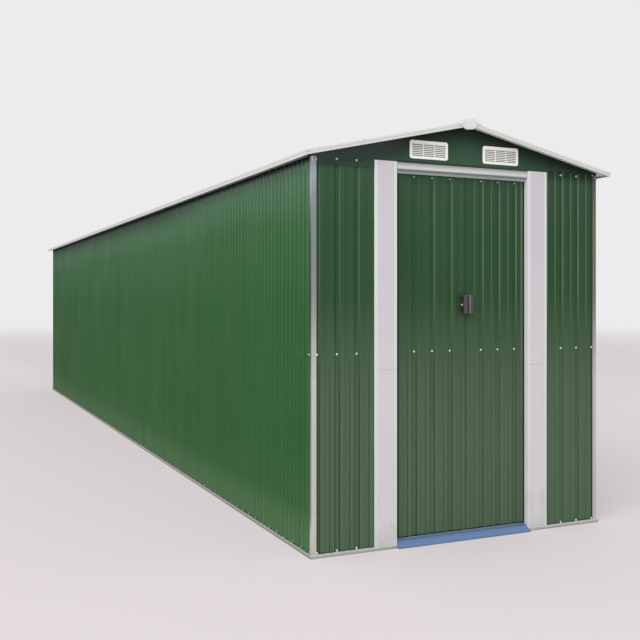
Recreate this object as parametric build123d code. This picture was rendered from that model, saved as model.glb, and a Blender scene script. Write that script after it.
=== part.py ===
from build123d import *
import math
import os

# Metal storage shed with a low pitched roof and two sliding door leaves in its front end.
# Millimetres. +Z is up, the front faces -Y, and the origin is on the ground under the middle.
# Every sheet lies on the outside of the frame, and "out" is measured outwards from the flat
# pans of the wall sheets.

# Walls, measured over the flat pans of the sheets
wall_width = 1800.0
wall_length = 9260.0
wall_height = 2008.0
sheet_thickness = 1.0
steel_thickness = 1.5

# Clearances between pieces that are fastened together, and how far a cut runs past a face
fit_clearance = 0.5
seat_clearance = 0.3
cut_margin = 1.0

# Ribs of the wall and door sheets
rib_pitch = 55.4
rib_foot = 33.0
rib_crown = 24.0
rib_height = 7.0
ribs_per_sheet = 15
sheet_gap = 0.4
first_pan = 29.0

# Corner posts
post_leg = 50.0
post_exposed = 25.0

# Base rails
base_step = 20.0
base_reach = 12.0
base_upright = 60.0
base_tread = 35.0
base_lip = 15.0

# Rails on the inside of the walls
rail_height = 40.0
rail_depth = 19.0
mid_rail_centre = 1015.0
top_rail_drop = 58.0
top_rail_depth = 31.0
end_rail_drop = 37.5
end_rail_rise = 12.0

# Doorway
opening_width = 824.0
jamb_width = 140.0
jamb_seam = 928.0
jamb_foot = 32.0
jamb_return = 30.5
jamb_proud = 0.5
header_rise = 2.0
header_lip = 24.0
header_return = 25.0

# Door leaves
leaf_lap = 40.0
leaf_low = 46.0
leaf_head_clearance = 8.5
meeting_line = 26.0
meeting_gap = 6.0
first_door_pan = 99.5
frame_depth = 15.0
frame_bar = 30.0
frame_rail = 40.0
running_clearance = 5.0

# Door track, hangers and guides
track_lip = 8.0
track_web = 28.0
glide_length = 60.0
glide_width = 10.0
glide_play = 1.5
hanger_width = 50.0
hanger_drop = 85.0
hanger_inset = 60.0
guide_lip_clearance = 8.0
guide_drop = 14.0
guide_width = 5.5

# Handles
handle_low = 1212.0
handle_high = 1320.0
handle_plate_width = 50.0
handle_plate_thickness = 3.0
handle_offset = 4.0
grip_width = 26.0
grip_depth = 28.0
grip_bar = 11.0
grip_foot = 16.0
grip_corner = 5.0

# Threshold ramp
ramp_lap = 6.0
ramp_toe = 30.0
ramp_brow = 3.0
ramp_brow_drop = 8.0
ramp_lip = 2.0
ramp_setback = 3.0
ramp_side_gap = 3.0
ramp_wall = 3.0
ramp_bays = 4

# Roof
roof_overhang = 60.0
roof_rise = 0.225
roof_seat = 15.5
roof_rib_height = 12.0
roof_rib_foot = 60.0
roof_ribs_per_sheet = 2
ridge_slot = 12.0
trim_thickness = 1.2
rake_height = 30.0
rake_flange = 45.0
eave_height = 37.0
eave_flange = 40.0
cap_half_width = 75.0
cap_shoulder = 48.0
cap_crown = 30.0
cap_rise = 12.2
ridge_end_width = 114.0
ridge_end_height = 68.0
ridge_end_rise = 7.0
ridge_end_corner = 22.0
ridge_end_depth = 8.0

# Roof frame
purlin_offset = 450.0
purlin_height = 40.0
purlin_depth = 30.0
ridge_beam_half = 40.0
sheets_per_truss = 2
truss_count = 5
truss_bar = 30.0
truss_depth = 20.0

# Gable plates and vents
gable_lap = 40.0
vent_width = 234.0
vent_height = 97.0
vent_rise = 22.0
vent_centre = 228.0
vent_thickness = 4.0
vent_corner = 12.0
vent_border = 16.0
vent_columns = 3
vent_rows = 7
slot_height = 4.0
slot_gap = 8.0

half_width = wall_width / 2
half_length = wall_length / 2
sheet_cover = ribs_per_sheet * rib_pitch
roof_rib_pitch = sheet_cover / roof_ribs_per_sheet
truss_spacing = sheets_per_truss * sheet_cover
roof_half_width = half_width + roof_overhang
roof_half_length = half_length + roof_overhang
roof_angle = math.atan(roof_rise)

# Planes in front of and behind the flat pans of the front wall
plate_out = rib_height + sheet_thickness
jamb_out = plate_out + jamb_proud
jamb_inner = jamb_return - jamb_out
leaf_inset = jamb_inner + running_clearance + rib_height
leaf_crown = leaf_inset - rib_height
leaf_back = leaf_inset + sheet_thickness + frame_depth
end_rail_depth = jamb_inner - sheet_thickness
glide_near = jamb_inner + running_clearance
track_far = glide_near + glide_width + glide_play + steel_thickness
guide_reach = leaf_inset + sheet_thickness + frame_depth / 2
ramp_back = leaf_crown - ramp_setback

# Widths that follow the doorway
leaf_width = opening_width / 2 + leaf_lap
ramp_width = opening_width + 2 * ramp_lap

# Levels that follow the height of the walls
top_rail_low = wall_height - top_rail_drop
end_rail_low = wall_height - end_rail_drop
end_rail_high = wall_height + end_rail_rise
header_top = wall_height + header_rise
header_step = end_rail_low - steel_thickness
header_low = header_step - header_lip
leaf_high = end_rail_low - leaf_head_clearance
track_floor = end_rail_low + steel_thickness
glide_floor = track_floor + steel_thickness + seat_clearance
glide_height = track_lip + running_clearance - steel_thickness
guide_height = leaf_low - guide_lip_clearance
ramp_height = leaf_low - running_clearance
gable_low = wall_height - gable_lap
vent_low = wall_height + vent_rise


# Building blocks

def roof_under(x):
    """Height of the underside of the roof sheets at the distance x from the ridge line."""
    return wall_height + roof_seat + roof_rise * (half_width - abs(x))


def roof_trim_top(x):
    """Height of the trims that lie on the crowns of the roof ribs."""
    stack = (sheet_thickness + roof_rib_height) / math.cos(roof_angle) + seat_clearance + trim_thickness
    return roof_under(x) + stack


def folded(points, thickness):
    """Face of a sheet bent along the points, lying on the left of the line."""
    corners = [Vector(*point) for point in points]
    runs = [(after - before).normalized() for before, after in zip(corners, corners[1:])]
    normals = [Vector(-run.Y, run.X) for run in runs]
    shifted = [corners[0] + normals[0] * thickness]
    for corner, before, after in zip(corners[1:-1], normals, normals[1:]):
        shifted.append(corner + (before + after) * (thickness / (1 + before.dot(after))))
    shifted.append(corners[-1] + normals[-1] * thickness)
    return make_face(Polyline(*corners, *reversed(shifted), close=True))


def ribbed_line(start, stop, pan, crown=rib_crown, pitch=rib_pitch, foot=rib_foot, height=rib_height):
    """Points along the inner face of a ribbed sheet, cut off at start and stop.

    A flat pan is centred at the place pan. A crown of no width gives ribs with a sharp crest.
    """
    slope = (foot - crown) / 2

    def rise(place):
        offset = (place - pan) % pitch - pitch / 2
        return height * min(1, max(0, (foot / 2 - abs(offset)) / slope))

    steps = sorted({-foot / 2, -crown / 2, crown / 2, foot / 2})
    first = math.floor((start - pan) / pitch) - 1
    last = math.ceil((stop - pan) / pitch) + 1
    bends = [pan + (number + 0.5) * pitch + step for number in range(first, last) for step in steps]
    places = [bend for bend in bends if start + sheet_thickness < bend < stop - sheet_thickness]
    return [(place, rise(place)) for place in [start, *places, stop]]


def sheet_spans(limit):
    """Spans of the sheets that lie side by side from -limit to limit, the middle one centred."""
    joints = int(2 * limit // sheet_cover) - 1
    lines = [(number - (joints - 1) / 2) * sheet_cover for number in range(joints)]
    starts = [-limit] + [line + sheet_gap / 2 for line in lines]
    stops = [line - sheet_gap / 2 for line in lines] + [limit]
    return list(zip(starts, stops))


def block(x, y, z):
    """Box between pairs of limits along X, Y and Z."""
    size = [high - low for low, high in (x, y, z)]
    centre = [(high + low) / 2 for low, high in (x, y, z)]
    return Pos(*centre) * Box(*size)


class Side:
    """One side of the shed, seen as an outward direction and the distance of its wall."""

    def __init__(self, outward, distance, half_run):
        self.outward = Vector(*outward)
        self.axis = self.outward.cross(Vector(0, 0, 1))
        self.distance = distance
        self.half_run = half_run

    def along(self, profile, start, stop):
        """Runs a profile, drawn as (out, height), along the wall from start to stop."""
        origin = self.outward * self.distance + self.axis * start
        return extrude(Plane(origin, x_dir=self.outward, z_dir=self.axis) * profile, stop - start)

    def sheet(self, line, low, high, inset=0.0):
        """Stands a ribbed sheet, drawn as (along, out), between two heights."""
        face = folded(line, sheet_thickness)
        origin = self.outward * (self.distance - inset - sheet_thickness) + Vector(0, 0, high)
        return extrude(Plane(origin, x_dir=self.axis * -1, z_dir=(0, 0, -1)) * face, high - low)


front = Side((0, -1, 0), half_length, half_width)
back = Side((0, 1, 0), half_length, half_width)
left = Side((-1, 0, 0), half_width, half_length)
right = Side((1, 0, 0), half_width, half_length)
sides = {"front": front, "back": back, "left": left, "right": right}


def channel(low, high, depth, slope_from=None):
    """C section that opens inwards. Its top follows the roof where slope_from is given."""
    outer = -sheet_thickness
    inner = outer - depth
    high_outer = high if slope_from is None else roof_under(slope_from + outer)
    high_inner = high if slope_from is None else roof_under(slope_from + inner)
    return folded([(inner, low), (outer, low), (outer, high_outer), (inner, high_inner)], steel_thickness)


# Base frame

def base_profile(tread, lip):
    """Rolled section: inner lip, tread on the ground, outer step and upright behind the sheets."""
    return folded([
        (-tread, lip), (-tread, 0), (base_reach, 0), (base_reach, base_step),
        (-sheet_thickness, base_step), (-sheet_thickness, base_upright)], steel_thickness)


def base_rail(side, tread, lip):
    """One rail of the base frame, mitred at both corners, its upright cut back for the posts."""
    reach = side.half_run + base_reach
    rail = side.along(base_profile(tread, lip), -reach, reach)
    for end in (-1, 1):
        corner = side.outward * side.distance + side.axis * (end * side.half_run)
        inward = side.axis * -end
        rail = split(rail, bisect_by=Plane(corner, z_dir=inward + side.outward), keep=Keep.TOP)
        start = side.half_run - sheet_thickness - post_leg - fit_clearance
        span = sorted((end * start, end * reach))
        window = Pos(-sheet_thickness, (base_step + base_upright) / 2) * Rectangle(
            4 * steel_thickness, base_upright - base_step)
        rail -= side.along(window, span[0], span[1])
    return rail


def front_base_rail():
    """The front rail carries the lip that guides the doors and is cut down under the ramp."""
    rail = base_rail(front, guide_reach, guide_height)
    half = opening_width / 2 - fit_clearance
    behind_jambs = opening_width / 2 + 2 * steel_thickness
    low_y = -half_length - base_reach - cut_margin
    high_y = -half_length + guide_reach - 2 * steel_thickness
    top = base_upright + cut_margin
    rail -= block((-half, half), (low_y, high_y), (steel_thickness, top))
    return rail - block((-behind_jambs, behind_jambs), (-half_length, high_y), (base_step, top))


def corner_post(x_sign, y_sign):
    """Angle that stands on the base frame, its legs behind the sheets of both walls."""
    outline = folded([(0, post_leg), (0, 0), (post_leg, 0)], steel_thickness)
    corner = Vector(half_width - sheet_thickness, half_length - sheet_thickness, base_step)
    post = extrude(outline, wall_height - base_step - sheet_thickness)
    if x_sign > 0:
        post = mirror(post, about=Plane.YZ)
    if y_sign > 0:
        post = mirror(post, about=Plane.XZ)
    return Pos(x_sign * corner.X, y_sign * corner.Y, corner.Z) * post


# Walls

def long_wall(side):
    """Ribbed sheets side by side, which meet in pans. Their ribs are plain ridges."""
    pan = sheet_cover / 2
    return [side.sheet(ribbed_line(start, stop, pan, crown=0), base_step, wall_height)
            for start, stop in sheet_spans(side.half_run - post_exposed)]


def back_wall_sheets():
    """Two sheets with plain ridged ribs that meet in a pan at the middle, under the gable plate."""
    limit = half_width - post_exposed
    height = rib_height - seat_clearance
    spans = [(-limit, -sheet_gap / 2), (sheet_gap / 2, limit)]
    return [back.sheet(ribbed_line(start, stop, 0, crown=0, height=height), base_step, wall_height)
            for start, stop in spans]


def front_wall_sheet(x_sign):
    """Ribbed sheet between a corner post and a door jamb."""
    outer = half_width - post_exposed
    inner = opening_width / 2 + jamb_width + fit_clearance + sheet_thickness
    pan = x_sign * (half_width - first_pan)
    span = sorted((x_sign * inner, x_sign * outer))
    return front.sheet(ribbed_line(span[0], span[1], pan), base_step, wall_height)


def rails_of_long_wall(side):
    """Middle rail and top rail, set between the corner posts."""
    reach = side.half_run - sheet_thickness - post_leg - fit_clearance
    middle = channel(mid_rail_centre - rail_height / 2, mid_rail_centre + rail_height / 2, rail_depth)
    top = channel(top_rail_low, None, top_rail_depth, slope_from=half_width)
    return [side.along(middle, -reach, reach), side.along(top, -reach, reach)]


def rails_of_end(side, gap_half):
    """Middle and top rails of an end wall. The middle one stops at the doorway."""
    reach = half_width - sheet_thickness - post_leg - fit_clearance
    middle = channel(mid_rail_centre - rail_height / 2, mid_rail_centre + rail_height / 2, rail_depth)
    top = channel(end_rail_low, end_rail_high, end_rail_depth)
    spans = [(-reach, reach)]
    if gap_half:
        spans = [(-reach, -gap_half), (gap_half, reach)]
    return [side.along(middle, start, stop) for start, stop in spans] + [side.along(top, -reach, reach)]


def vent_places():
    """Middles of the two vents of a gable, as (x, z)."""
    height = vent_low + vent_height / 2
    return [(-vent_centre, height), (vent_centre, height)]


def gable_plate(side, doorway):
    """Flat plate that laps over the crowns of the ribs and fills the end wall up to the roof."""
    edge = half_width
    post = half_width - post_exposed + fit_clearance
    above_post = wall_height + fit_clearance
    outline = [(0, roof_under(0) - seat_clearance), (edge, roof_under(edge) - seat_clearance),
               (edge, above_post), (post, above_post), (post, gable_low)]
    if doorway:
        jamb = opening_width / 2 + jamb_width + fit_clearance
        outline += [(jamb, gable_low), (jamb, header_top + fit_clearance)]
    outline += [(-x, z) for x, z in reversed(outline[1:])]
    plate = make_face(Polyline(*outline, close=True))
    hole = Rectangle(vent_width - 2 * vent_border, vent_height - 2 * vent_border)
    for x, z in vent_places():
        plate -= Pos(x, z) * hole
    start = side.distance + rib_height
    plane = Plane(side.outward * start, x_dir=side.axis * -1, z_dir=side.outward)
    return extrude(plane * plate, sheet_thickness)


def vents(side):
    """Moulded vents with rows of slots, screwed to a gable plate."""
    body = chamfer(Rectangle(vent_width, vent_height).vertices(), vent_corner)
    inner = vent_width - 2 * vent_border
    slot_width = (inner - (vent_columns - 1) * slot_gap) / vent_columns
    spacing = (vent_height - 2 * vent_border) / vent_rows
    slots = GridLocations(slot_width + slot_gap, spacing, vent_columns, vent_rows)
    body -= slots * Rectangle(slot_width, slot_height)
    start = side.distance + plate_out
    plane = Plane(side.outward * start, x_dir=side.axis * -1, z_dir=side.outward)
    return [extrude(plane * Pos(x, z) * body, vent_thickness) for x, z in vent_places()]


# Doorway

def door_jamb(x_sign):
    """Folded jamb in two lengths, with a foot on the rails and a return beside the door."""
    inner = opening_width / 2
    outer = inner + jamb_width
    outline = folded([(inner, jamb_out - jamb_return), (inner, jamb_out), (outer, jamb_out),
                      (outer, -sheet_thickness), (outer - jamb_foot, -sheet_thickness)],
                     -steel_thickness)
    lengths = [(base_step, jamb_seam), (jamb_seam + sheet_gap, wall_height)]
    rail_room = block((inner - cut_margin, inner + 2 * steel_thickness),
                      (-half_length, -half_length + jamb_return),
                      (end_rail_low, wall_height + cut_margin))
    solids = []
    for low, high in lengths:
        piece = extrude(Plane((0, -half_length, high), x_dir=(1, 0, 0), z_dir=(0, 0, -1)) * outline,
                        high - low)
        piece -= rail_room
        solids.append(piece if x_sign > 0 else mirror(piece, about=Plane.YZ))
    return solids


def door_header():
    """Folded rail over the doorway, with a step back and a lip that hides the door tops."""
    outline = folded([(-sheet_thickness, header_top), (jamb_out, header_top),
                      (jamb_out, header_step), (jamb_out - header_return, header_step),
                      (jamb_out - header_return, header_low)], -steel_thickness)
    half = opening_width / 2 - fit_clearance
    return front.along(outline, -half, half)


def door_track():
    """Shelf with a lip, on the front top rail, that the door glides run on."""
    start = -sheet_thickness - steel_thickness
    outline = folded([(start, track_floor + track_web), (start, track_floor), (-track_far, track_floor),
                      (-track_far, track_floor + track_lip)], -steel_thickness)
    reach = half_width - sheet_thickness - post_leg - fit_clearance
    return front.along(outline, -reach, reach)


def threshold_ramp():
    """Wedge that covers the front rail in the doorway, with pockets underneath."""
    tread = steel_thickness
    outer = [(ramp_toe, 0), (base_reach + fit_clearance, 0), (base_reach + fit_clearance, tread),
             (-ramp_back, tread), (-ramp_back, ramp_height), (ramp_lip - ramp_back, ramp_height),
             (-ramp_brow, ramp_height - ramp_brow_drop), (ramp_toe, ramp_wall)]
    half = ramp_width / 2
    ramp = front.along(make_face(Polyline(*outer, close=True)), -half, half)
    hollow = [(base_reach - ramp_wall, tread), (-ramp_back + ramp_wall, tread),
              (-ramp_back + ramp_wall, ramp_height - 2 * ramp_wall),
              (-ramp_brow, ramp_height - ramp_brow_drop - 2 * ramp_wall)]
    pocket = make_face(Polyline(*hollow, close=True))
    narrow = opening_width / 2 - ramp_side_gap
    bay = (2 * narrow - ramp_wall) / ramp_bays
    for number in range(ramp_bays):
        start = -narrow + ramp_wall + number * bay
        ramp -= front.along(pocket, start, start + bay - ramp_wall)
    for end in (-1, 1):
        limits = sorted((end * narrow, end * (half + cut_margin)))
        ramp -= block(limits,
                      (-half_length - base_reach - fit_clearance, -half_length + ramp_back + cut_margin),
                      (-cut_margin, ramp_height + cut_margin))
    return ramp


# Door leaves

def leaf_limits(x_sign):
    """Near and far edge of a leaf, as distances from the meeting line, turned into X limits."""
    near = meeting_line + x_sign * meeting_gap / 2
    far = near + x_sign * leaf_width
    return sorted((near, far))


def leaf_skin(x_sign):
    """Ribbed sheet of a door leaf."""
    low, high = leaf_limits(x_sign)
    pan = meeting_line + x_sign * first_door_pan
    return front.sheet(ribbed_line(low, high, pan), leaf_low, leaf_high, inset=leaf_inset)


def leaf_frame(x_sign):
    """Channel frame behind the skin, with a middle rail. Its channels open to the inside."""
    low, high = leaf_limits(x_sign)
    start = -half_length + leaf_inset + sheet_thickness
    stop = start + frame_depth
    frame = block((low, high), (start, stop), (leaf_low, leaf_high))
    middle = (mid_rail_centre - frame_rail / 2, mid_rail_centre + frame_rail / 2)
    bays = [(leaf_low + frame_rail, middle[0]), (middle[1], leaf_high - frame_rail)]
    for bay in bays:
        frame -= block((low + frame_bar, high - frame_bar), (start, stop), bay)
    web = start + steel_thickness
    wall = steel_thickness
    for x in ((low, low + frame_bar), (high - frame_bar, high)):
        frame -= block((x[0] + wall, x[1] - wall), (web, stop), (leaf_low + wall, leaf_high - wall))
    rails = [(leaf_low, leaf_low + frame_rail), middle, (leaf_high - frame_rail, leaf_high)]
    for z in rails:
        frame -= block((low + frame_bar - wall, high - frame_bar + wall), (web, stop),
                       (z[0] + wall, z[1] - wall))
    return frame


def hanger_places(x_sign):
    """Middles of the two hangers of a leaf."""
    low, high = leaf_limits(x_sign)
    return [low + hanger_inset, high - hanger_inset]


def leaf_hangers(x_sign):
    """Bent straps that carry the leaf from its frame over the lip of the track."""
    top = glide_floor + glide_height
    outline = folded([(-glide_near, top), (-leaf_back, top), (-leaf_back, top - hanger_drop)],
                     -steel_thickness)
    return [front.along(outline, -x - hanger_width / 2, -x + hanger_width / 2)
            for x in hanger_places(x_sign)]


def leaf_glides(x_sign):
    """Nylon glides on the track, and guide pads on both sides of the lip of the front rail."""
    near = -half_length + glide_near
    rail = -half_length + guide_reach
    front_pad = rail - steel_thickness - seat_clearance
    rear_pad = rail + seat_clearance
    solids = []
    for x in hanger_places(x_sign):
        span = (x - glide_length / 2, x + glide_length / 2)
        solids.append(block(span, (near, near + glide_width), (glide_floor, glide_floor + glide_height)))
        solids.append(block(span, (front_pad - guide_width, front_pad), (leaf_low - guide_drop, leaf_low)))
        solids.append(block(span, (rear_pad, rear_pad + guide_width), (leaf_low - guide_drop, leaf_low)))
    return solids


def leaf_handle(x_sign):
    """Moulded handle: a plate across the first crowns of the leaf and a bar grip in front of it."""
    plate_face = -half_length + leaf_crown - handle_plate_thickness
    near = meeting_line + x_sign * handle_offset
    plate_span = sorted((near, near + x_sign * handle_plate_width))
    plate = block(plate_span, (plate_face, plate_face + handle_plate_thickness), (handle_low, handle_high))
    height = handle_high - handle_low
    outline = chamfer(Rectangle(2 * grip_depth, height).vertices(), grip_corner)
    window = chamfer(Rectangle(2 * (grip_depth - grip_bar), height - 2 * grip_foot).vertices(), grip_corner)
    side_view = (outline - window) & (Pos(grip_depth / 2, 0) * Rectangle(grip_depth, height))
    grip_span = sorted((near, near + x_sign * grip_width))
    origin = Vector(grip_span[1], plate_face, (handle_low + handle_high) / 2)
    grip = extrude(Plane(origin, x_dir=(0, -1, 0), z_dir=(-1, 0, 0)) * side_view, grip_width)
    return plate + grip


# Roof

def slope_plane(x_sign, start):
    """Plane across a slope of the roof, its Z axis pointing down the slope."""
    down = Vector(x_sign * math.cos(roof_angle), 0, -math.sin(roof_angle))
    return Plane((x_sign * start, 0, roof_under(start)), x_dir=(0, x_sign, 0), z_dir=down)


def roof_slope(x_sign):
    """Ribbed sheets of one slope, side by side from the front to the back."""
    length = (roof_half_width - ridge_slot - trim_thickness - seat_clearance) / math.cos(roof_angle)
    length -= (sheet_thickness + roof_rib_height) * roof_rise
    plane = slope_plane(x_sign, ridge_slot)
    sheets = []
    for start, stop in sheet_spans(roof_half_length - trim_thickness - seat_clearance):
        line = ribbed_line(start, stop, sheet_cover / 2, crown=0, pitch=roof_rib_pitch,
                           foot=roof_rib_foot, height=roof_rib_height)
        sheets.append(extrude(plane * folded(line, sheet_thickness), length))
    return sheets


def along_length(profile, half):
    """Runs a profile, drawn as (x, z), from the front to the back."""
    return extrude(Plane((0, half, 0), x_dir=(1, 0, 0), z_dir=(0, -1, 0)) * profile, 2 * half)


def ridge_cap():
    """Folded capping over the open ridge, raised along its middle."""
    def lift(x):
        return roof_trim_top(x) + seat_clearance
    top = roof_trim_top(0) + cap_rise - trim_thickness
    line = [(-cap_half_width, lift(cap_half_width)), (-cap_shoulder, lift(cap_shoulder)),
            (-cap_crown, top), (cap_crown, top),
            (cap_shoulder, lift(cap_shoulder)), (cap_half_width, lift(cap_half_width))]
    return along_length(folded(line, trim_thickness), roof_half_length)


def ridge_end(side):
    """Moulded end piece that closes the ridge capping."""
    outline = chamfer(Rectangle(ridge_end_width, ridge_end_height).vertices(), ridge_end_corner)
    high = roof_trim_top(0) + cap_rise + ridge_end_rise
    start = side.outward * roof_half_length + Vector(0, 0, high - ridge_end_height / 2)
    end = extrude(Plane(start, x_dir=side.axis * -1, z_dir=side.outward) * outline, ridge_end_depth)
    return chamfer(end.faces().sort_by(Axis(start, side.outward))[-1].edges(), ridge_end_depth / 2)


def eave_trim(x_sign):
    """Angle along the eave that closes the lower ends of the roof sheets."""
    edge = roof_half_width
    top = roof_trim_top(edge)
    inner = edge - eave_flange
    line = [(inner, roof_trim_top(inner)), (edge, top), (edge, top - eave_height)]
    trim = along_length(folded(line, -trim_thickness), roof_half_length - trim_thickness)
    return trim if x_sign > 0 else mirror(trim, about=Plane.YZ)


def rake_trims(side):
    """Pair of angles along the sloping edges of an end, meeting at the ridge."""
    trims = []
    for x_sign in (-1, 1):
        outline = [(0, roof_trim_top(0)), (x_sign * roof_half_width, roof_trim_top(roof_half_width)),
                   (x_sign * roof_half_width, roof_trim_top(roof_half_width) - rake_height),
                   (0, roof_trim_top(0) - rake_height)]
        edge = roof_half_width - eave_flange - fit_clearance
        flange = [(x_sign * fit_clearance, roof_trim_top(0)),
                  (x_sign * edge, roof_trim_top(edge)),
                  (x_sign * edge, roof_trim_top(edge) - trim_thickness),
                  (x_sign * fit_clearance, roof_trim_top(0) - trim_thickness)]
        outer = side.outward * roof_half_length
        plane = Plane(outer, x_dir=(1, 0, 0), z_dir=Vector(0, -1, 0))
        inward = -1 if side is front else 1
        upright = extrude(plane * make_face(Polyline(*outline, close=True)), inward * trim_thickness)
        lid = extrude(plane * make_face(Polyline(*flange, close=True)), inward * rake_flange)
        trims.append(upright + lid)
    return trims


def ridge_beam():
    """Hat section under the ridge that both slopes lie on."""
    half = ridge_beam_half
    edge = roof_under(half)
    line = [(half, edge - purlin_height), (half, edge), (0, roof_under(0)), (-half, edge),
            (-half, edge - purlin_height)]
    return along_length(folded(line, steel_thickness), half_length + rib_height)


def purlins():
    """C sections half way up both slopes."""
    outer = purlin_offset + purlin_depth / 2
    inner = purlin_offset - purlin_depth / 2
    low = roof_under(outer) - purlin_height
    line = [(inner, low), (outer, low), (outer, roof_under(outer)), (inner, roof_under(inner))]
    purlin = along_length(folded(line, steel_thickness), half_length + rib_height)
    return [purlin, mirror(purlin, about=Plane.YZ)]


def trusses():
    """Flat frames from wall to wall that carry the purlins and the ridge beam."""
    def rafter(x):
        return roof_under(x) - purlin_height - seat_clearance - roof_rise * purlin_depth
    low = top_rail_low + steel_thickness
    end = half_width - sheet_thickness - 2 * steel_thickness
    outline = [(-end, low), (end, low), (end, rafter(end)), (0, rafter(0)), (-end, rafter(end))]
    face = make_face(Polyline(*outline, close=True))
    drop = truss_bar / math.cos(roof_angle)
    post = truss_bar / 2
    far = (rafter(0) - drop - low - truss_bar) / roof_rise
    for sign in (-1, 1):
        window = [(sign * post, low + truss_bar), (sign * far, low + truss_bar),
                  (sign * post, rafter(post) - drop)]
        face -= make_face(Polyline(*window, close=True))
    frames = []
    for number in range(truss_count):
        y = (number - (truss_count - 1) / 2) * truss_spacing
        plane = Plane((0, y + truss_depth / 2, 0), x_dir=(1, 0, 0), z_dir=(0, -1, 0))
        frames.append(extrude(plane * face, truss_depth))
    return frames


# Assembly

def build():
    """All pieces, by the names of their nodes."""
    pieces = {}
    for name in ("back", "left", "right"):
        pieces["base_rail_" + name] = base_rail(sides[name], base_tread, base_lip)
    pieces["base_rail_front"] = front_base_rail()
    for y_name, y_sign in (("front", -1), ("back", 1)):
        for x_name, x_sign in (("left", -1), ("right", 1)):
            pieces["corner_post_" + y_name + "_" + x_name] = corner_post(x_sign, y_sign)
    pieces["left_wall"] = long_wall(left)
    pieces["right_wall"] = long_wall(right)
    pieces["back_wall"] = back_wall_sheets()
    pieces["left_wall_rails"] = rails_of_long_wall(left)
    pieces["right_wall_rails"] = rails_of_long_wall(right)
    pieces["front_wall_rails"] = rails_of_end(front, opening_width / 2 + 2 * steel_thickness)
    pieces["back_wall_rails"] = rails_of_end(back, 0)
    pieces["front_gable"] = gable_plate(front, doorway=True)
    pieces["back_gable"] = gable_plate(back, doorway=False)
    pieces["front_vents"] = vents(front)
    pieces["back_vents"] = vents(back)
    pieces["door_header"] = door_header()
    pieces["door_track"] = door_track()
    pieces["threshold_ramp"] = threshold_ramp()
    for name, x_sign in (("left", -1), ("right", 1)):
        pieces["front_wall_" + name] = front_wall_sheet(x_sign)
        pieces["door_jamb_" + name] = door_jamb(x_sign)
        pieces[name + "_door_skin"] = leaf_skin(x_sign)
        pieces[name + "_door_frame"] = leaf_frame(x_sign)
        pieces[name + "_door_hangers"] = leaf_hangers(x_sign)
        pieces[name + "_door_glides"] = leaf_glides(x_sign)
        pieces[name + "_door_handle"] = leaf_handle(x_sign)
        pieces["roof_" + name] = roof_slope(x_sign)
        pieces["eave_trim_" + name] = eave_trim(x_sign)
    pieces["rake_trims_front"] = rake_trims(front)
    pieces["rake_trims_back"] = rake_trims(back)
    pieces["ridge_cap"] = ridge_cap()
    pieces["ridge_end_front"] = ridge_end(front)
    pieces["ridge_end_back"] = ridge_end(back)
    pieces["ridge_beam"] = ridge_beam()
    pieces["roof_purlins"] = purlins()
    pieces["roof_trusses"] = trusses()
    return pieces


os.makedirs("parts", exist_ok=True)
for node, shape in build().items():
    if isinstance(shape, list):
        shape = Compound(children=shape)
    export_step(shape, os.path.join("parts", node + ".step"))
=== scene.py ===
"""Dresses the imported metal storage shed: its sheets, trims, fastenings, finishes and studio."""
import logging
import math
from collections.abc import Callable, Iterable, Sequence
from dataclasses import dataclass
from enum import Enum

import bmesh
import bpy
from mathutils import Matrix, Vector


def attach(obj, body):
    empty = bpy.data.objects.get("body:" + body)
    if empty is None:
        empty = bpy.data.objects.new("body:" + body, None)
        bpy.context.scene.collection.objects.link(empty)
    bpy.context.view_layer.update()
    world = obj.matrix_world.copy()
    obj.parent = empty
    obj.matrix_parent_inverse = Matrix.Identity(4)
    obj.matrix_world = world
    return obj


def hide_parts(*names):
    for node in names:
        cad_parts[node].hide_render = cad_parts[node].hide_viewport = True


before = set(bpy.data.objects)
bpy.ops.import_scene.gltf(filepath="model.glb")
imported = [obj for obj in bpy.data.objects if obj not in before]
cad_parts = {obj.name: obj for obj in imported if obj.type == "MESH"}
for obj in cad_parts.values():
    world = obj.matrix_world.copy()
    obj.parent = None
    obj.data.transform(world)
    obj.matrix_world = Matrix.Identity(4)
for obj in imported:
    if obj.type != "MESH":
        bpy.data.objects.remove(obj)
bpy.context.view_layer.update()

LOG = logging.getLogger("shed")

Spot = tuple[float, float]
Pair = tuple[Spot, Spot]
Triple = tuple[float, float, float]
Colour = tuple[float, float, float, float]
Tones = tuple[tuple[float, float, float, float], ...]
Placer = Callable[[float, float, float], Vector]
Station = float | Callable[[float, float], float]
Socket = bpy.types.NodeSocket
Material = bpy.types.Material
Feed = Socket | float | Sequence[float]

TONES_TOP = 2.4


def shade(red: float, green: float, blue: float) -> Colour:
    """Turns a colour given as display values from 0 to 255 into the linear values of a shader.

    Args:
        red: Red display value.
        green: Green display value.
        blue: Blue display value.

    Returns:
        The linear colour with full opacity.
    """
    def linear(value: float) -> float:
        """Linear value of one channel."""
        part = value / 255
        return part / 12.92 if part <= 0.04045 else ((part + 0.055) / 1.055) ** 2.4
    return linear(red), linear(green), linear(blue), 1.0


class Named(Enum):
    """Option whose name goes into the names of pieces."""

    @property
    def label(self) -> str:
        """Word used in the names of pieces."""
        return self.name.lower()


class Hand(Named):
    """Side of the shed, as seen by someone who faces the doors."""

    LEFT = -1
    RIGHT = 1


class End(Named):
    """End of the shed. The doors are in the front."""

    FRONT = -1
    BACK = 1


class Run(Enum):
    """Direction in which the ribs of a wall follow each other, as an index into a place."""

    ACROSS = 0
    ALONG = 1


# Shape of the shed


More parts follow.
